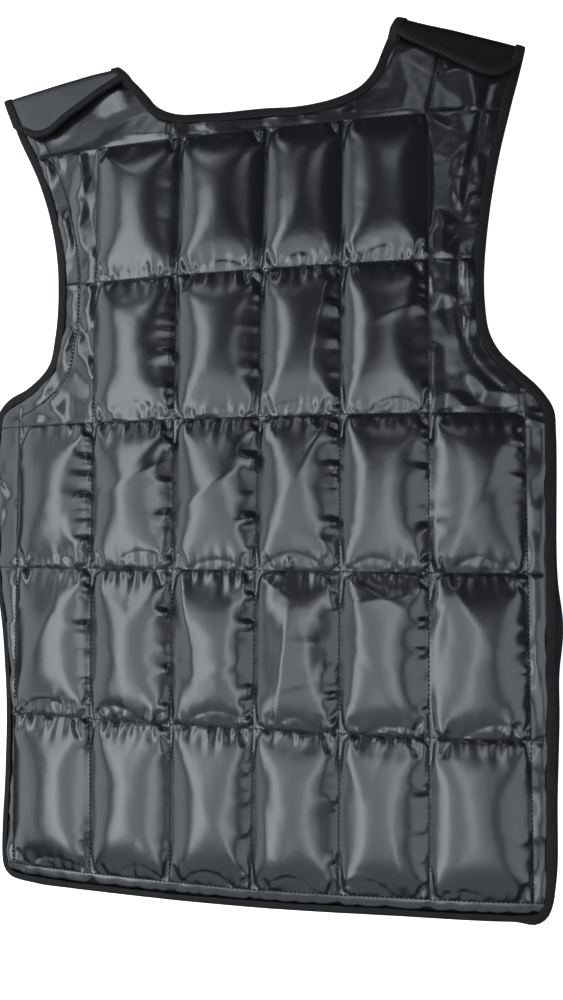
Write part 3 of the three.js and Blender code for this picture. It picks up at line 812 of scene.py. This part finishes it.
def pocket_corners(row, column):
    """Left, right, lower and upper seam of a pocket."""
    bottom = ROW_SEAMS[row + 1]
    top = ROW_SEAMS[row]
    middle = (bottom + top) / 2
    left = seam_x(column, middle)
    right = seam_x(column + 1, middle)
    if row + 1 == LAST_ROW:
        bottom = float(hem_seam_y((left + right) / 2))
    return left, right, bottom, top


def crown(row, column):
    """1 in the middle of each cell of the grid, 0 on its seams."""
    across = column - np.floor(column)
    down = row - np.floor(row)
    return 16 * across * (1 - across) * down * (1 - down)


def tape_reach_along(run):
    """Width of the tape that shows on the back, narrower at the hem and on the left side."""
    low_side = (run[:, 0] < LAPPED_LEFT_OF) & (run[:, 1] < LAPPED_BELOW)
    reach = np.where(low_side | (run[:, 1] < HEM_LAPPED_BELOW), TAPE_REACH_LOW, TAPE_SHOWN)
    kernel = np.ones(TAPE_BLEND) / TAPE_BLEND
    return np.convolve(np.pad(reach, TAPE_BLEND // 2, mode="edge"), kernel, mode="valid")


def hem_width(x, column):
    """Width of the satin below the hem's stitches."""
    to_seam = np.abs(column - np.round(column)) * POCKET_WIDTH
    notch = np.exp(-((to_seam / HEM_NOTCH_WIDTH) ** 2))
    swing = x / HEM_SCALLOP_PITCH + HEM_SCALLOP_SHIFT * wave_noise(71, x, 31)
    scallop = np.abs(np.sin(math.pi * swing)) ** 0.5
    return HEM_WIDTH + HEM_SCALLOP * scallop - HEM_NOTCH * notch


def hem_height(x, row):
    """Height of the rolled hem over the seam line."""
    share = np.clip((row - LAST_ROW) * HEM_OVERRUN, 0, HEM_OVERRUN)
    roll = 1 - (2 * np.clip(share, 0, 1) - 1) ** 4
    crinkle = 1 + HEM_CRINKLE * wave_noise(72, x, HEM_CRINKLE_PITCH)
    return np.where(share > 1, LOWEST, HEM_RISE * roll * crinkle - HEM_FALL * share)


def quilt_start():
    """Grid of the back's outside with its seams, and the fields that drive the cloth."""
    hem_rows = LAST_ROW + np.arange(1, HEM_STEPS + 1) / HEM_STEPS
    rows = np.concatenate([row_stations(QUILT_PITCH, 0), hem_rows])
    row, column, x, y, shape = plan_grid(rows, column_stations(QUILT_PITCH, RIGHT_MARGIN))
    hem = row > LAST_ROW
    hem_share = np.clip((row - LAST_ROW) * HEM_OVERRUN, 0, HEM_TUCK)
    y = np.where(hem, hem_seam_y(x) - hem_width(x, column) * hem_share, y)

    # Outline and tape
    edge_distance, edge_place, edge_where = nearest_on(back_edge, x, y, False)
    loop_distance = nearest_on(back_loop, x, y, True)[0]
    keep = inside(back_loop, x, y) & (loop_distance > RIM_INSET)
    reach = tape_reach_along(back_edge)
    edge_reach = np.interp(edge_where, np.linspace(0, 1, len(reach)), reach)
    local_reach = np.where(edge_distance < loop_distance + 0.01, edge_reach, TAPE_SHOWN)
    under_tape = loop_distance < local_reach + HELD_PAST_TAPE
    ramp = eased(np.clip((loop_distance - local_reach + RAMP_UNDER_TAPE) / TAPE_RAMP, 0, 1))

    # Seams
    armhole = (y > UNDERARM_Y) & (edge_place[:, 1] > UNDERARM_Y)
    in_strip = armhole & (edge_distance < ARMHOLE_SEAM)
    yoke = row < 0
    in_rows = (row > 0) & (row < LAST_ROW)
    near_row = np.round(row)
    near_column = np.round(column)
    outer_seam = (near_column <= 0) | (near_column >= LAST_COLUMN)
    has_upright = ~yoke & np.where(outer_seam, y < UNDERARM_Y, ~in_strip)
    on_level = (np.abs(row - near_row) < ON_SEAM) & (near_row >= 0) & (near_row <= LAST_ROW)
    on_upright = (np.abs(column - near_column) < ON_SEAM) & in_rows & has_upright
    on_upright &= (near_column >= 0) & (near_column <= LAST_COLUMN)
    seam = (on_level | on_upright) & ~under_tape
    off_level = np.where(yoke, -TOP_SPAN * row, POCKET_HEIGHT * np.abs(row - near_row))
    beyond = np.maximum(-column, column - LAST_COLUMN)
    off_upright = np.where(beyond > 0, beyond * BORDER_SPAN, POCKET_WIDTH * np.abs(column - near_column))
    off_seam = np.minimum(off_level, np.where(has_upright, off_upright, np.inf))
    off_armhole_seam = np.where(armhole, np.abs(edge_distance - ARMHOLE_SEAM), np.inf)
    yoke_line = YOKE_SEAM_X + YOKE_SEAM_LEAN * (y - ROW_SEAMS[0])
    off_yoke_seam = np.where(yoke, np.abs(x - yoke_line), np.inf)
    groove = np.exp(-((np.minimum(off_armhole_seam, off_yoke_seam) / GROOVE_WIDTH) ** 2))

    # What lies where
    in_quilt = in_rows & (column > 0) & (column < LAST_COLUMN) & ~in_strip
    part_pocket = (row < ARMHOLE_ROWS) & ((column < 1) | (column > LAST_COLUMN - 1))
    pocket = in_quilt & ~part_pocket
    return SimpleNamespace(
        x=x, y=y, row=row, column=column, cell_row=np.floor(row), cell_column=np.floor(column),
        shape=shape, keep=keep, pinned=under_tape | seam | hem | ~pocket, pocket=pocket,
        strip=in_rows & ~in_quilt, yoke=yoke, hem=hem, seam=seam, ramp=ramp, groove=groove,
        off_level=off_level, off_seam=off_seam,
    )


# Folds
def falloff(distance, peak):
    """Rises from 0 on a seam to 1 at the peak and dies away behind it."""
    ratio = np.clip(distance, 0, None) / peak
    return ratio * np.exp(1 - ratio)


def turned(x, y, start, angle):
    """Distances along and across a line that leaves its start at an angle."""
    dx = x - start[0]
    dy = y - start[1]
    along = dx * math.cos(angle) + dy * math.sin(angle)
    across = -dx * math.sin(angle) + dy * math.cos(angle)
    return along, across


def fold_of(kind, rng, x, y, start, angle, tall, power=1):
    """Fold of a kind: it rises from its start, runs along the angle and dies away."""
    length = rng.uniform(*kind["length"])
    width = rng.uniform(*kind["width"])
    height = tall * rng.uniform(*kind["height"]) ** power
    along, across = turned(x, y, start, angle)
    widen = width * (RIDGE_START + RIDGE_SPREAD * np.clip(along / length, 0, 1))
    return height * falloff(along, RIDGE_PEAK * length) / (1 + (across / widen) ** 2) ** 1.5


def gathers(rng, x, y, corners, strengths):
    """Short folds that stand on the level seams at both ends of a pocket."""
    left, right, bottom, top = corners
    height = np.zeros(len(x))
    for end, toward, strength in zip((top, bottom), (-math.pi / 2, math.pi / 2), strengths):
        for share in rng.uniform(*GATHER["place"], int((right - left) / GATHER_PITCH)):
            start = (left + (right - left) * share, end)
            angle = toward + rng.uniform(*GATHER["turn"])
            height += fold_of(GATHER, rng, x, y, start, angle, strength * GATHER_HEIGHT)
    return height


def pocket_folds(rng, x, y, corners, puckered):
    """Folds of one pocket: puckers at its seams, most at the right one, and long ones from the corners."""
    left, right, bottom, top = corners
    height = np.zeros(len(x))
    tall = puckered * PUCKER_HEIGHT
    for share in rng.uniform(*PUCKER["place"], int((top - bottom) / PUCKER_PITCH)):
        start = (right, bottom + (top - bottom) * share)
        angle = math.pi + rng.uniform(*PUCKER["turn"])
        height += fold_of(PUCKER, rng, x, y, start, angle, tall, power=2)
    for share in rng.uniform(*LEFT_PUCKER["place"], LEFT_PUCKERS):
        start = (left, bottom + (top - bottom) * share)
        angle = rng.uniform(*LEFT_PUCKER["turn"])
        height += fold_of(LEFT_PUCKER, rng, x, y, start, angle, tall)
    for corner in ((left, top), (right, top), (left, bottom), (right, bottom)):
        toward = math.atan2((top + bottom) / 2 - corner[1], (left + right) / 2 - corner[0])
        for turn in rng.uniform(*CORNER_FOLD["turn"], CORNER_FOLDS):
            height += fold_of(CORNER_FOLD, rng, x, y, corner, toward + turn, CORNER_HEIGHT)
    return height


def crumpled(rng, x, y, step_x, step_y, tall):
    """Loose cloth: flat triangles between scattered high and low points."""
    columns = np.arange(x.min() - step_x, x.max() + 2 * step_x, step_x)
    rows = np.arange(y.min() - step_y, y.max() + 2 * step_y, step_y)
    knots = np.stack(np.meshgrid(columns, rows), -1).reshape(-1, 2)
    knots += rng.uniform(-KNOT_SCATTER, KNOT_SCATTER, knots.shape) * (step_x, step_y)
    level = tall * rng.uniform(-1, 1, len(knots))
    made = delaunay_2d_cdt([Vector(knot) for knot in knots], [], [], 0, 1e-5)
    order = [origin[0] for origin in made[3]]
    height = np.zeros(len(x))
    for face in made[2]:
        i, j, k = (order[corner] for corner in face)
        side = knots[j] - knots[i]
        other = knots[k] - knots[i]
        turn = side[0] * other[1] - side[1] * other[0]
        dx = x - knots[i][0]
        dy = y - knots[i][1]
        along = (dx * other[1] - dy * other[0]) / turn
        across = (side[0] * dy - side[1] * dx) / turn
        within = (along >= 0) & (across >= 0) & (along + across <= 1)
        tilt = level[i] + along * (level[j] - level[i]) + across * (level[k] - level[i])
        height[within] = tilt[within]
    return height


def lip(rng, x, y, corners):
    """Bowed crease over the lower seam of a pocket, where the gathered cloth folds over."""
    left, right, bottom, top = corners
    half = rng.uniform(*LIP_HALF) * (right - left)
    middle = (left + right) / 2 + rng.uniform(-0.5, 0.5) * (right - left - 2 * half)
    bow = bottom + rng.uniform(*LIP_BOW) * (1 - ((x - middle) / half) ** 2)
    off_bow = np.where(np.abs(x - middle) < half, y - bow, np.inf)
    return -rng.uniform(*LIP_STRENGTH) * LIP_DEPTH * np.exp(-np.abs(off_bow) / LIP_WIDTH)


def cell_at(grid, row, column):
    return (grid.cell_row == row) & (grid.cell_column == column)


def quilt_heights(grid):
    """Starting heights: low crowns with the puckers sewn into the seams."""
    x, y, pocket, strip = grid.x, grid.y, grid.pocket, grid.strip
    height = np.where(pocket, START_CROWN * crown(grid.row, grid.column), 0)
    rng = np.random.default_rng(7)
    for j in range(LAST_ROW):
        for i in range(LAST_COLUMN):
            cell = cell_at(grid, j, i)
            if j < ARMHOLE_ROWS and i in (0, LAST_COLUMN - 1):
                height[cell] += crumpled(rng, x[cell], y[cell], *SIDE_CELLS)
            else:
                height[cell] += pocket_folds(rng, x[cell], y[cell], pocket_corners(j, i), ROW_PUCKERS[j])
    by_armhole = y > UNDERARM_Y
    by_neck = np.abs(x) < NECK_STRIP_HALF
    for area, loose in (
        (strip & by_armhole, ARMHOLE_STRIPS),
        (strip & ~by_armhole & (grid.column < 1), LEFT_STRIP),
        (strip & ~by_armhole & (grid.column > 1), RIGHT_STRIP),
        (grid.yoke & by_neck, NECK_STRIP),
        (grid.yoke & ~by_neck, YOKES),
    ):
        height[area] += crumpled(rng, x[area], y[area], *loose)
    height += FINE_HEIGHT * field_noise(32, x, y, FINE_PITCH)
    height = height * (1 - GROOVE_CALM * grid.groove) - GROOVE_DEPTH * grid.groove
    height = np.where(pocket, height, height * np.clip(grid.off_seam / SEAM_RAMP, 0, 1))
    height[grid.seam] = 0
    height = np.where(pocket, height, height * grid.ramp - UNDER_TAPE * (1 - grid.ramp))
    height[grid.hem] = hem_height(x, grid.row)[grid.hem]
    return height


def pocket_creases(grid):
    """Flat facets, sharp folds, gathers and lips that are laid on the filled pockets."""
    x, y, pocket = grid.x, grid.y, grid.pocket
    height = np.zeros(len(x))
    rng = np.random.default_rng(19)
    for j in range(LAST_ROW):
        in_row = pocket & (grid.cell_row == j)
        height[in_row] = crumpled(rng, x[in_row], y[in_row], *POCKET_FACETS, ROW_CREASES[j])
    for j, i, across_at, down_at, angle, length, tall in LONG_FOLDS:
        cell = pocket & cell_at(grid, j, i)
        start_y = ROW_SEAMS[j] + (ROW_SEAMS[j + 1] - ROW_SEAMS[j]) * down_at
        start_x = seam_x(i, start_y) + (seam_x(i + 1, start_y) - seam_x(i, start_y)) * across_at
        along, across = turned(x[cell], y[cell], (start_x, start_y), math.radians(angle))
        crest = LONG_FOLD_LIFT * tall * falloff(along, RIDGE_PEAK * length)
        height[cell] += crest * np.exp(-np.abs(across) / LONG_FOLD_WIDTH)
    height *= np.clip(grid.off_seam / CREASE_RAMP, 0, 1)
    for j in range(LAST_ROW):
        for i in range(LAST_COLUMN):
            cell = pocket & cell_at(grid, j, i)
            corners = pocket_corners(j, i)
            height[cell] += gathers(rng, x[cell], y[cell], corners, ROW_GATHERS[j:j + 2])
            height[cell] += lip(rng, x[cell], y[cell], corners)
    height[grid.pinned] = 0
    return height


# Sewing and filling
def cut_shape(grid, height):
    """Where the cloth lies before the seams are drawn in: wider in the columns, longer in the rows."""
    column = np.clip(grid.column, 0, LAST_COLUMN)
    row = np.clip(grid.row, 0, LAST_ROW)
    places = np.array([place for place, lean in COLUMN_SEAMS], float)
    wider = COLUMN_EASE * (np.interp(column, range(LAST_COLUMN + 1), places) - places.mean())
    longer = ROW_EASE * np.interp(row, range(LAST_ROW + 1), ROW_SEAMS)
    return np.stack([grid.x + wider, grid.y + longer, height], -1)


def looseness(grid):
    """Further growth of the cloth: most at the right seam and at the ends of each pocket."""
    to_right = (np.ceil(grid.column) - grid.column) * POCKET_WIDTH
    by_row = np.take(ROW_PUCKERS, np.clip(grid.cell_row.astype(int), 0, LAST_ROW - 1))
    at_side = SIDE_GROWTH * by_row * np.exp(-((to_right / SIDE_GROWTH_REACH) ** 2))
    at_end = END_GROWTH * np.exp(-((grid.off_level / END_GROWTH_REACH) ** 2))
    return np.where(grid.pinned, 0, np.clip(at_side + at_end, 0, MOST_GROWTH))


def sew_and_fill(cut, sewn, faces, pinned, pressure, growth):
    """Cloth simulation: seams are drawn from the cut shape to the sewn one while the pockets fill."""
    mesh = bpy.data.meshes.new("swelling")
    mesh.from_pydata((cut * CLOTH_SCALE).tolist(), [], faces.tolist())
    cloth_piece = add_object("swelling", mesh)
    cloth_piece.shape_key_add(name="cut", from_mix=False)
    key = cloth_piece.shape_key_add(name="sewn", from_mix=False)
    key.data.foreach_set("co", (sewn * CLOTH_SCALE).ravel())
    for value, number in ((0, 1), (1, SEWN_FRAME)):
        key.value = value
        key.keyframe_insert("value", frame=number)
    drawing_in = mesh.shape_keys.animation_data.action
    groups = {"held": pinned.astype(float), "pressure": pressure, "taut": 1 - growth / MOST_GROWTH}
    for name, weights in groups.items():
        group = cloth_piece.vertex_groups.new(name=name)
        levels = np.round(np.clip(weights, 0, 1), 2)
        for level in np.unique(levels):
            if level > 0:
                group.add(np.nonzero(levels == level)[0].tolist(), float(level), "REPLACE")
    modifier = cloth_piece.modifiers.new("cloth", "CLOTH")
    settings = modifier.settings
    settings.quality = 4
    settings.mass = 0.05
    settings.tension_stiffness = CLOTH_STIFFNESS
    settings.compression_stiffness = CLOTH_STIFFNESS
    settings.shear_stiffness = CLOTH_STIFFNESS / 3
    settings.bending_model = "LINEAR"
    settings.bending_stiffness = BENDING
    settings.use_pressure = True
    settings.uniform_pressure_force = FULL_PRESSURE
    settings.vertex_group_pressure = "pressure"
    settings.vertex_group_mass = "held"
    settings.vertex_group_shrink = "taut"
    settings.shrink_min = -MOST_GROWTH
    settings.shrink_max = 0
    settings.effector_weights.gravity = 0
    modifier.collision_settings.use_collision = False
    modifier.collision_settings.use_self_collision = False
    modifier.point_cache.frame_end = CLOTH_FRAMES
    scene = bpy.context.scene
    for number in range(1, CLOTH_FRAMES + 1):
        scene.frame_set(number)
    settled = cloth_piece.evaluated_get(bpy.context.evaluated_depsgraph_get()).data
    places = np.empty(len(cut) * 3)
    settled.vertices.foreach_get("co", places)
    bpy.data.objects.remove(cloth_piece)
    bpy.data.meshes.remove(mesh)
    bpy.data.actions.remove(drawing_in)
    scene.frame_set(1)
    return places.reshape(-1, 3) / CLOTH_SCALE


def flat_cloth(loop, pitch, height):
    """Plain inner side of a panel."""
    low = loop.min(0)
    high = loop.max(0)
    xs = np.arange(low[0], high[0] + pitch, pitch)
    ys = np.arange(high[1] + pitch, low[1], -pitch)
    y, x = np.meshgrid(ys, xs, indexing="ij")
    shape = x.shape
    x, y = x.ravel(), y.ravel()
    rim = moved(loop, RIM_INSET)
    within = inside(rim, x, y)
    rim_distance, rim_place = nearest_on(rim, x, y, True)[:2]
    drawn_in = ~within & (rim_distance < RIM_CATCH * pitch)
    x = np.where(drawn_in, rim_place[:, 0], x)
    y = np.where(drawn_in, rim_place[:, 1], y)
    faces, used = grid_faces(shape, within | drawn_in)
    return np.column_stack([x, y, np.broadcast_to(height(x, y), x.shape)])[used], faces


def back_quilt():
    grid = quilt_start()
    faces, used = grid_faces(grid.shape, grid.keep)
    base = back_plane(grid.x, grid.y) + SEAM_HALF
    height = base + quilt_heights(grid)
    points = np.stack([grid.x, grid.y, height], -1)[used]
    slack = END_SLACK * np.exp(-((grid.off_level / END_SLACK_REACH) ** 2))
    pressure = (grid.pocket * (1 - slack))[used]
    cut = cut_shape(grid, height)[used]
    growth = looseness(grid)[used]
    points = sew_and_fill(cut, points, faces, grid.pinned[used], pressure, growth)
    points[:, 2] = np.maximum(points[:, 2] + pocket_creases(grid)[used], base[used] + LOWEST)
    lining, lining_faces = flat_cloth(back_loop, LINING_PITCH, lambda x, y: back_plane(x, y) - CLOTH / 2)
    all_points = np.vstack([points, lining])
    all_faces = np.vstack([faces, lining_faces[:, ::-1] + len(points)])
    sharp = np.concatenate([grid.seam[used], np.zeros(len(lining), bool)])
    piece = make_piece("back_quilt", all_points, all_faces, SATIN, sharp=sharp)
    stand_for(piece, "back_panel")


# Front, seen only along its edges and from below
def front_quilt():
    rows = row_stations(FRONT_PITCH, FRONT_HEM_MARGIN)
    row, column, x, y, shape = plan_grid(rows, column_stations(FRONT_PITCH, FRONT_RIGHT_MARGIN))
    distance = nearest_on(front_loop, x, y, True)[0]
    faces, used = grid_faces(shape, inside(front_loop, x, y) & (distance > RIM_INSET))
    filled = (column > 0) & (column < LAST_COLUMN) & (row > 0) & (row < LAST_ROW)
    pad = np.where(filled, crown(row, column) ** 0.5, 0)
    pad *= np.clip((distance - FRONT_CLEAR) / FRONT_RAMP, 0, 1)
    fade = np.clip((distance - FRONT_GATHER_CLEAR) / FRONT_GATHER_CLEAR, 0, 1)
    ruffle = FRONT_GATHER * field_noise(41, x, y, FRONT_GATHER_PITCH) * fade
    hang = FRONT_PLANE - SEAM_HALF - FRONT_LOWEST
    low = FRONT_LOWEST + hang * np.clip(1 - FRONT_PRESSED * pad, 0, 1) ** 1.5
    low = low + np.clip(ruffle, 0, FRONT_GATHER) * (pad < FRONT_GATHER_CROWN)
    under = np.stack([x, y, low], -1)[used]
    top, top_faces = flat_cloth(front_loop, FRONT_TOP_PITCH, lambda x, y: FRONT_PLANE + CLOTH / 2)
    piece = make_piece(
        "front_quilt",
        np.vstack([under, top]),
        np.vstack([faces[:, ::-1], top_faces + len(under)]),
        SATIN,
    )
    stand_for(piece, "front_panel")


# Shoulder flaps
def shoulder_flap(name, node, shoulder, material, seed):
    rows = shoulder.rows(*FLAP_ROWS)
    shares = np.linspace(0, 1, FLAP_COLUMNS)
    outer, middle, inner = (
        np.array([[row(share, raised) for share in shares] for row in rows])
        for raised in (FLAP_HALF, 0.0, -FLAP_HALF)
    )
    steps = np.linalg.norm(np.diff(middle, axis=0), axis=2)
    way = np.vstack([np.zeros((1, len(shares))), np.cumsum(steps, axis=0)])
    swell = np.sin(math.pi * shares)[None] ** 0.5
    along = FLAP_RIPPLE_SPAN * shares[None] + 0 * way
    ripple = field_noise(seed, along, way, FLAP_RIPPLE_PITCH) * FLAP_RIPPLE * swell
    outward = outer - inner
    outward /= np.linalg.norm(outward, axis=2, keepdims=True)
    rippled = [side + outward * ripple[..., None] for side in (outer, inner)]
    points = np.concatenate(rippled).reshape(-1, 3)

    index = np.arange(len(points)).reshape(2, len(rows), len(shares))
    quads = np.stack([index[:, :-1, :-1], index[:, :-1, 1:], index[:, 1:, 1:], index[:, 1:, :-1]], -1)
    rim = np.concatenate([
        index[:, 0, :].T, index[:, 1:, -1].T, index[:, -1, -2::-1].T, index[:, -2:0:-1, 0].T,
    ])
    after = np.roll(rim, -1, axis=0)
    edge_faces = np.stack([rim[:, 0], rim[:, 1], after[:, 1], after[:, 0]], -1)
    faces = np.vstack([quads[0].reshape(-1, 4), quads[1].reshape(-1, 4)[:, ::-1], edge_faces])
    piece = make_piece(name, points, faces, material)

    stand_for(piece, node)


# Binding tape
def tape_section(reach):
    """Section of the folded tape: across the cloth from its edge, and up from its middle."""
    top, skin = TAPE_TOP, TAPE_TOP - TAPE_SKIN
    outer = [
        (reach, skin), (reach + 0.2, top - 0.3), (reach - 0.3, top), (reach * 0.55, top + 0.1), (0.4, top),
        (-0.8, 0.8 * top), (-1.35, 0.35 * top), (-1.35, -0.35 * top), (-0.8, -0.8 * top), (0.4, -top),
        (5, -top - 0.1), (TAPE_REACH - 0.3, -top), (TAPE_REACH + 0.2, 0.3 - top), (TAPE_REACH, -skin),
    ]
    inner = [(4, -skin), (0.2, -skin), (-0.5, -0.5), (-0.5, 0.5), (0.2, skin), (reach * 0.5, skin)]
    return np.array(outer + inner)


def sweep(name, stops, reaches, closed, node):
    """Tape swept through stops that each place a point of the section."""
    points = []
    along = np.arange(len(stops)) * RUN_STEP
    wobble = TAPE_WOBBLE * wave_noise(51, along, TAPE_WOBBLE_PITCH)
    puff = TAPE_PUFF * wave_noise(52, along, TAPE_PUFF_PITCH)
    for stop, reach, shake, swell in zip(stops, reaches, wobble, puff):
        for across, raised in tape_section(reach):
            points.append(stop(across + (shake if across > TAPE_STEADY else 0), raised * (1 + swell)))
    ring = len(tape_section(TAPE_REACH))
    index = np.arange(len(points)).reshape(len(stops), ring)
    here = index if closed else index[:-1]
    after = np.roll(index, -1, axis=0) if closed else index[1:]
    corners = [here, np.roll(here, -1, axis=1), np.roll(after, -1, axis=1), after]
    faces = np.stack(corners, -1).reshape(-1, 4)
    lengthwise = np.repeat(along * MM, ring)
    crosswise = np.tile(np.linspace(0, TAPE_UV_WIDTH, ring), len(stops))
    piece = make_piece(name, points, faces, TAPE_CLOTH, np.stack([lengthwise, crosswise], -1))
    face_outward(piece)
    stand_for(piece, node)


def stops_along(run, plane, facing=1, side=1, inset=EDGE_TO_CLOTH):
    """Stops of the tape on a run; the section lies to the run's left, or with side -1 to its right."""
    inward = inward_of(run) * side
    edge = run + inward * inset

    def stop_at(i):
        def stop(across, raised):
            x, y = edge[i] + inward[i] * across
            return (x, y, plane(x, y) + facing * raised)
        return stop
    return [stop_at(i) for i in range(len(run))]


def stops_over_fold(shoulder, at_arm):
    """Stops over the fold along the neck or arm edge, from the flap to the underside."""
    def stop_at(row):
        def stop(across, raised):
            share = across / shoulder.span
            return row(1 - share if at_arm else share, raised)
        return stop
    return [stop_at(row) for row in shoulder.rows(*FOLD_TAPE_ROWS)[:0:-1]]


def stops_on_flap(shoulder, side):
    """Stops along the flap's lower edge, from the neck side to the arm."""
    shares = np.linspace(FLAP_TAPE_START, FLAP_TAPE_END, FLAP_TAPE_POINTS)
    run = smooth_run([shoulder.plan(share, shoulder.depth_at(share)) for share in shares], RUN_STEP)
    return stops_along(run, flap_plane, side=side, inset=0)


def bindings():
    sweep("back_tape", stops_along(back_edge, back_plane), tape_reach_along(back_edge), False,
          "back_edge_binding")

    left_flap = stops_on_flap(left_shoulder, -1)
    right_flap = stops_on_flap(right_shoulder, 1)[::-1]
    round_front = (
        stops_over_fold(left_shoulder, True)
        + stops_along(front_edge, front_plane, facing=-1)
        + stops_over_fold(right_shoulder, True)[::-1]
    )
    reach = np.repeat(
        [FLAP_TAPE_SHOWN, TAPE_SHOWN, FLAP_TAPE_SHOWN], [len(left_flap), len(round_front), len(right_flap)]
    )
    sweep("front_tape", left_flap + round_front + right_flap, reach, False,
          "front_edge_binding")

    neck_run = np.vstack([
        right_shoulder.plan(0, right_shoulder.climb, 0),
        back_neck,
        left_shoulder.plan(0, left_shoulder.climb, 0),
    ])
    neck_stops = (
        stops_along(neck_run, back_plane)
        + stops_over_fold(left_shoulder, False)
        + stops_along(front_neck, front_plane, facing=-1)[::-1]
        + stops_over_fold(right_shoulder, False)[::-1]
    )
    sweep("neck_tape", neck_stops, [TAPE_SHOWN] * len(neck_stops), True,
          "neck_binding")


# Stitches
def stitches_along(lines):
    """Points and faces of short threads laid end to end along lines of points."""
    points = []
    faces = []
    turns = 2 * math.pi * np.arange(STITCH_SIDES) / STITCH_SIDES
    for line in lines:
        travel = spaced(line, STITCH_STEP)
        for a, b in zip(travel[:-1], travel[1:]):
            way = (b - a) / max(np.linalg.norm(b - a), 1e-6)
            side = np.cross(way, (0, 0, 1))
            side /= max(np.linalg.norm(side), 1e-6)
            up = np.cross(side, way)
            start = len(points)
            for at, size in STITCH_PROFILE:
                centre = (a + b) / 2 + way * at * STITCH_LENGTH
                for turn in turns:
                    ring = side * math.cos(turn) + up * math.sin(turn)
                    points.append(centre + ring * STITCH_RADIUS * size)
            for low in start + STITCH_SIDES * np.arange(len(STITCH_PROFILE) - 1):
                high = low + STITCH_SIDES
                for k in range(STITCH_SIDES):
                    after = (k + 1) % STITCH_SIDES
                    faces.append((low + k, low + after, high + after, high + k))
    return np.array(points), faces


def clipped(run, least):
    """The parts of a run that lie well inside the back."""
    deep = inside(back_loop, run[:, 0], run[:, 1])
    deep &= nearest_on(back_loop, run[:, 0], run[:, 1], True)[0] > least
    parts = np.split(np.arange(len(run)), np.nonzero(np.diff(deep.astype(int)))[0] + 1)
    return [run[part] for part in parts if deep[part[0]] and len(part) > 2]


def quilt_stitches():
    runs = []
    x = np.arange(-PLAN_HALF, PLAN_HALF, SEAM_STEP)
    for height in ROW_SEAMS[:-1]:
        runs.append((np.column_stack([x, np.full(len(x), float(height))]), LEVEL_CLEAR))
    runs.append((np.column_stack([x, hem_seam_y(x)]), LEVEL_CLEAR))
    for i in range(LAST_COLUMN + 1):
        outer = i in (0, LAST_COLUMN)
        y = np.arange(LOWEST_STITCH, UNDERARM_Y if outer else ROW_SEAMS[0], SEAM_STEP)
        y = y[y > hem_seam_y(seam_x(i, y))]
        runs.append((np.column_stack([seam_x(i, y), y]), UPRIGHT_CLEAR))
    breaks = np.nonzero(np.diff(back_edge[:, 1] > UNDERARM_Y))[0] + 1
    for run in np.split(moved(back_edge, ARMHOLE_SEAM), breaks):
        if run[:, 1].mean() > UNDERARM_Y:
            runs.append((run, ARMHOLE_CLEAR))
    y = np.arange(ROW_SEAMS[0], YOKE_SEAM_TOP, SEAM_STEP)
    yoke_seam = np.column_stack([YOKE_SEAM_X + YOKE_SEAM_LEAN * (y - ROW_SEAMS[0]), y])
    runs.append((yoke_seam, UPRIGHT_CLEAR))

    raised = SEAM_HALF + STITCH_RAISED
    parts = [part for run, least in runs for part in clipped(run, least)]
    lines = [np.column_stack([part, back_plane(part[:, 0], part[:, 1]) + raised]) for part in parts]
    piece = make_piece("quilt_stitches", *stitches_along(lines), THREAD)
    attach(piece, "root")


back_quilt()
front_quilt()
shoulder_flap("flap_left", "shoulder_flap_left", left_shoulder, SATIN_PAINTED_LIGHT, 61)
shoulder_flap("flap_right", "shoulder_flap_right", right_shoulder, SATIN_SHADED, 62)
bindings()
quilt_stitches()


# Floor and lights
def floor():
    material, tree, shader = new_material("floor")
    set_inputs(shader, {
        "Base Color": (0.9, 0.9, 0.9, 1), "Roughness": 0.9,
        "Emission Color": (1, 1, 1, 1), "Emission Strength": 0.85,
    })
    mesh = bpy.data.meshes.new("floor")
    corners = [(-1, -1), (1, -1), (1, 1), (-1, 1)]
    mesh.from_pydata([(FLOOR_HALF * x, FLOOR_HALF * y, 0) for x, y in corners], [], [(0, 1, 2, 3)])
    mesh.materials.append(material)
    piece = add_object("floor", mesh)
    piece.location.z = -FLOOR_DROP
    piece.visible_glossy = False
    piece.visible_diffuse = False


def soft_light(name, place, aim, width, height, power):
    data = bpy.data.lights.new(name, "AREA")
    data.shape = "RECTANGLE"
    data.size = width
    data.size_y = height
    data.energy = power
    data.color = LIGHT_COLOUR
    light = add_object(name, data)
    light.location = place
    light.rotation_euler = (Vector(aim) - Vector(place)).to_track_quat("-Z", "Y").to_euler()


def room():
    for name, values in LIGHTS.items():
        soft_light(name, *values)
    world = bpy.data.worlds.new("room")
    world.use_nodes = True
    set_inputs(world.node_tree.nodes["Background"], {"Color": (0.9, 0.95, 1.0, 1), "Strength": 0.02})
    bpy.context.scene.world = world
    bpy.context.scene.view_settings.view_transform = "Standard"


floor()
room()
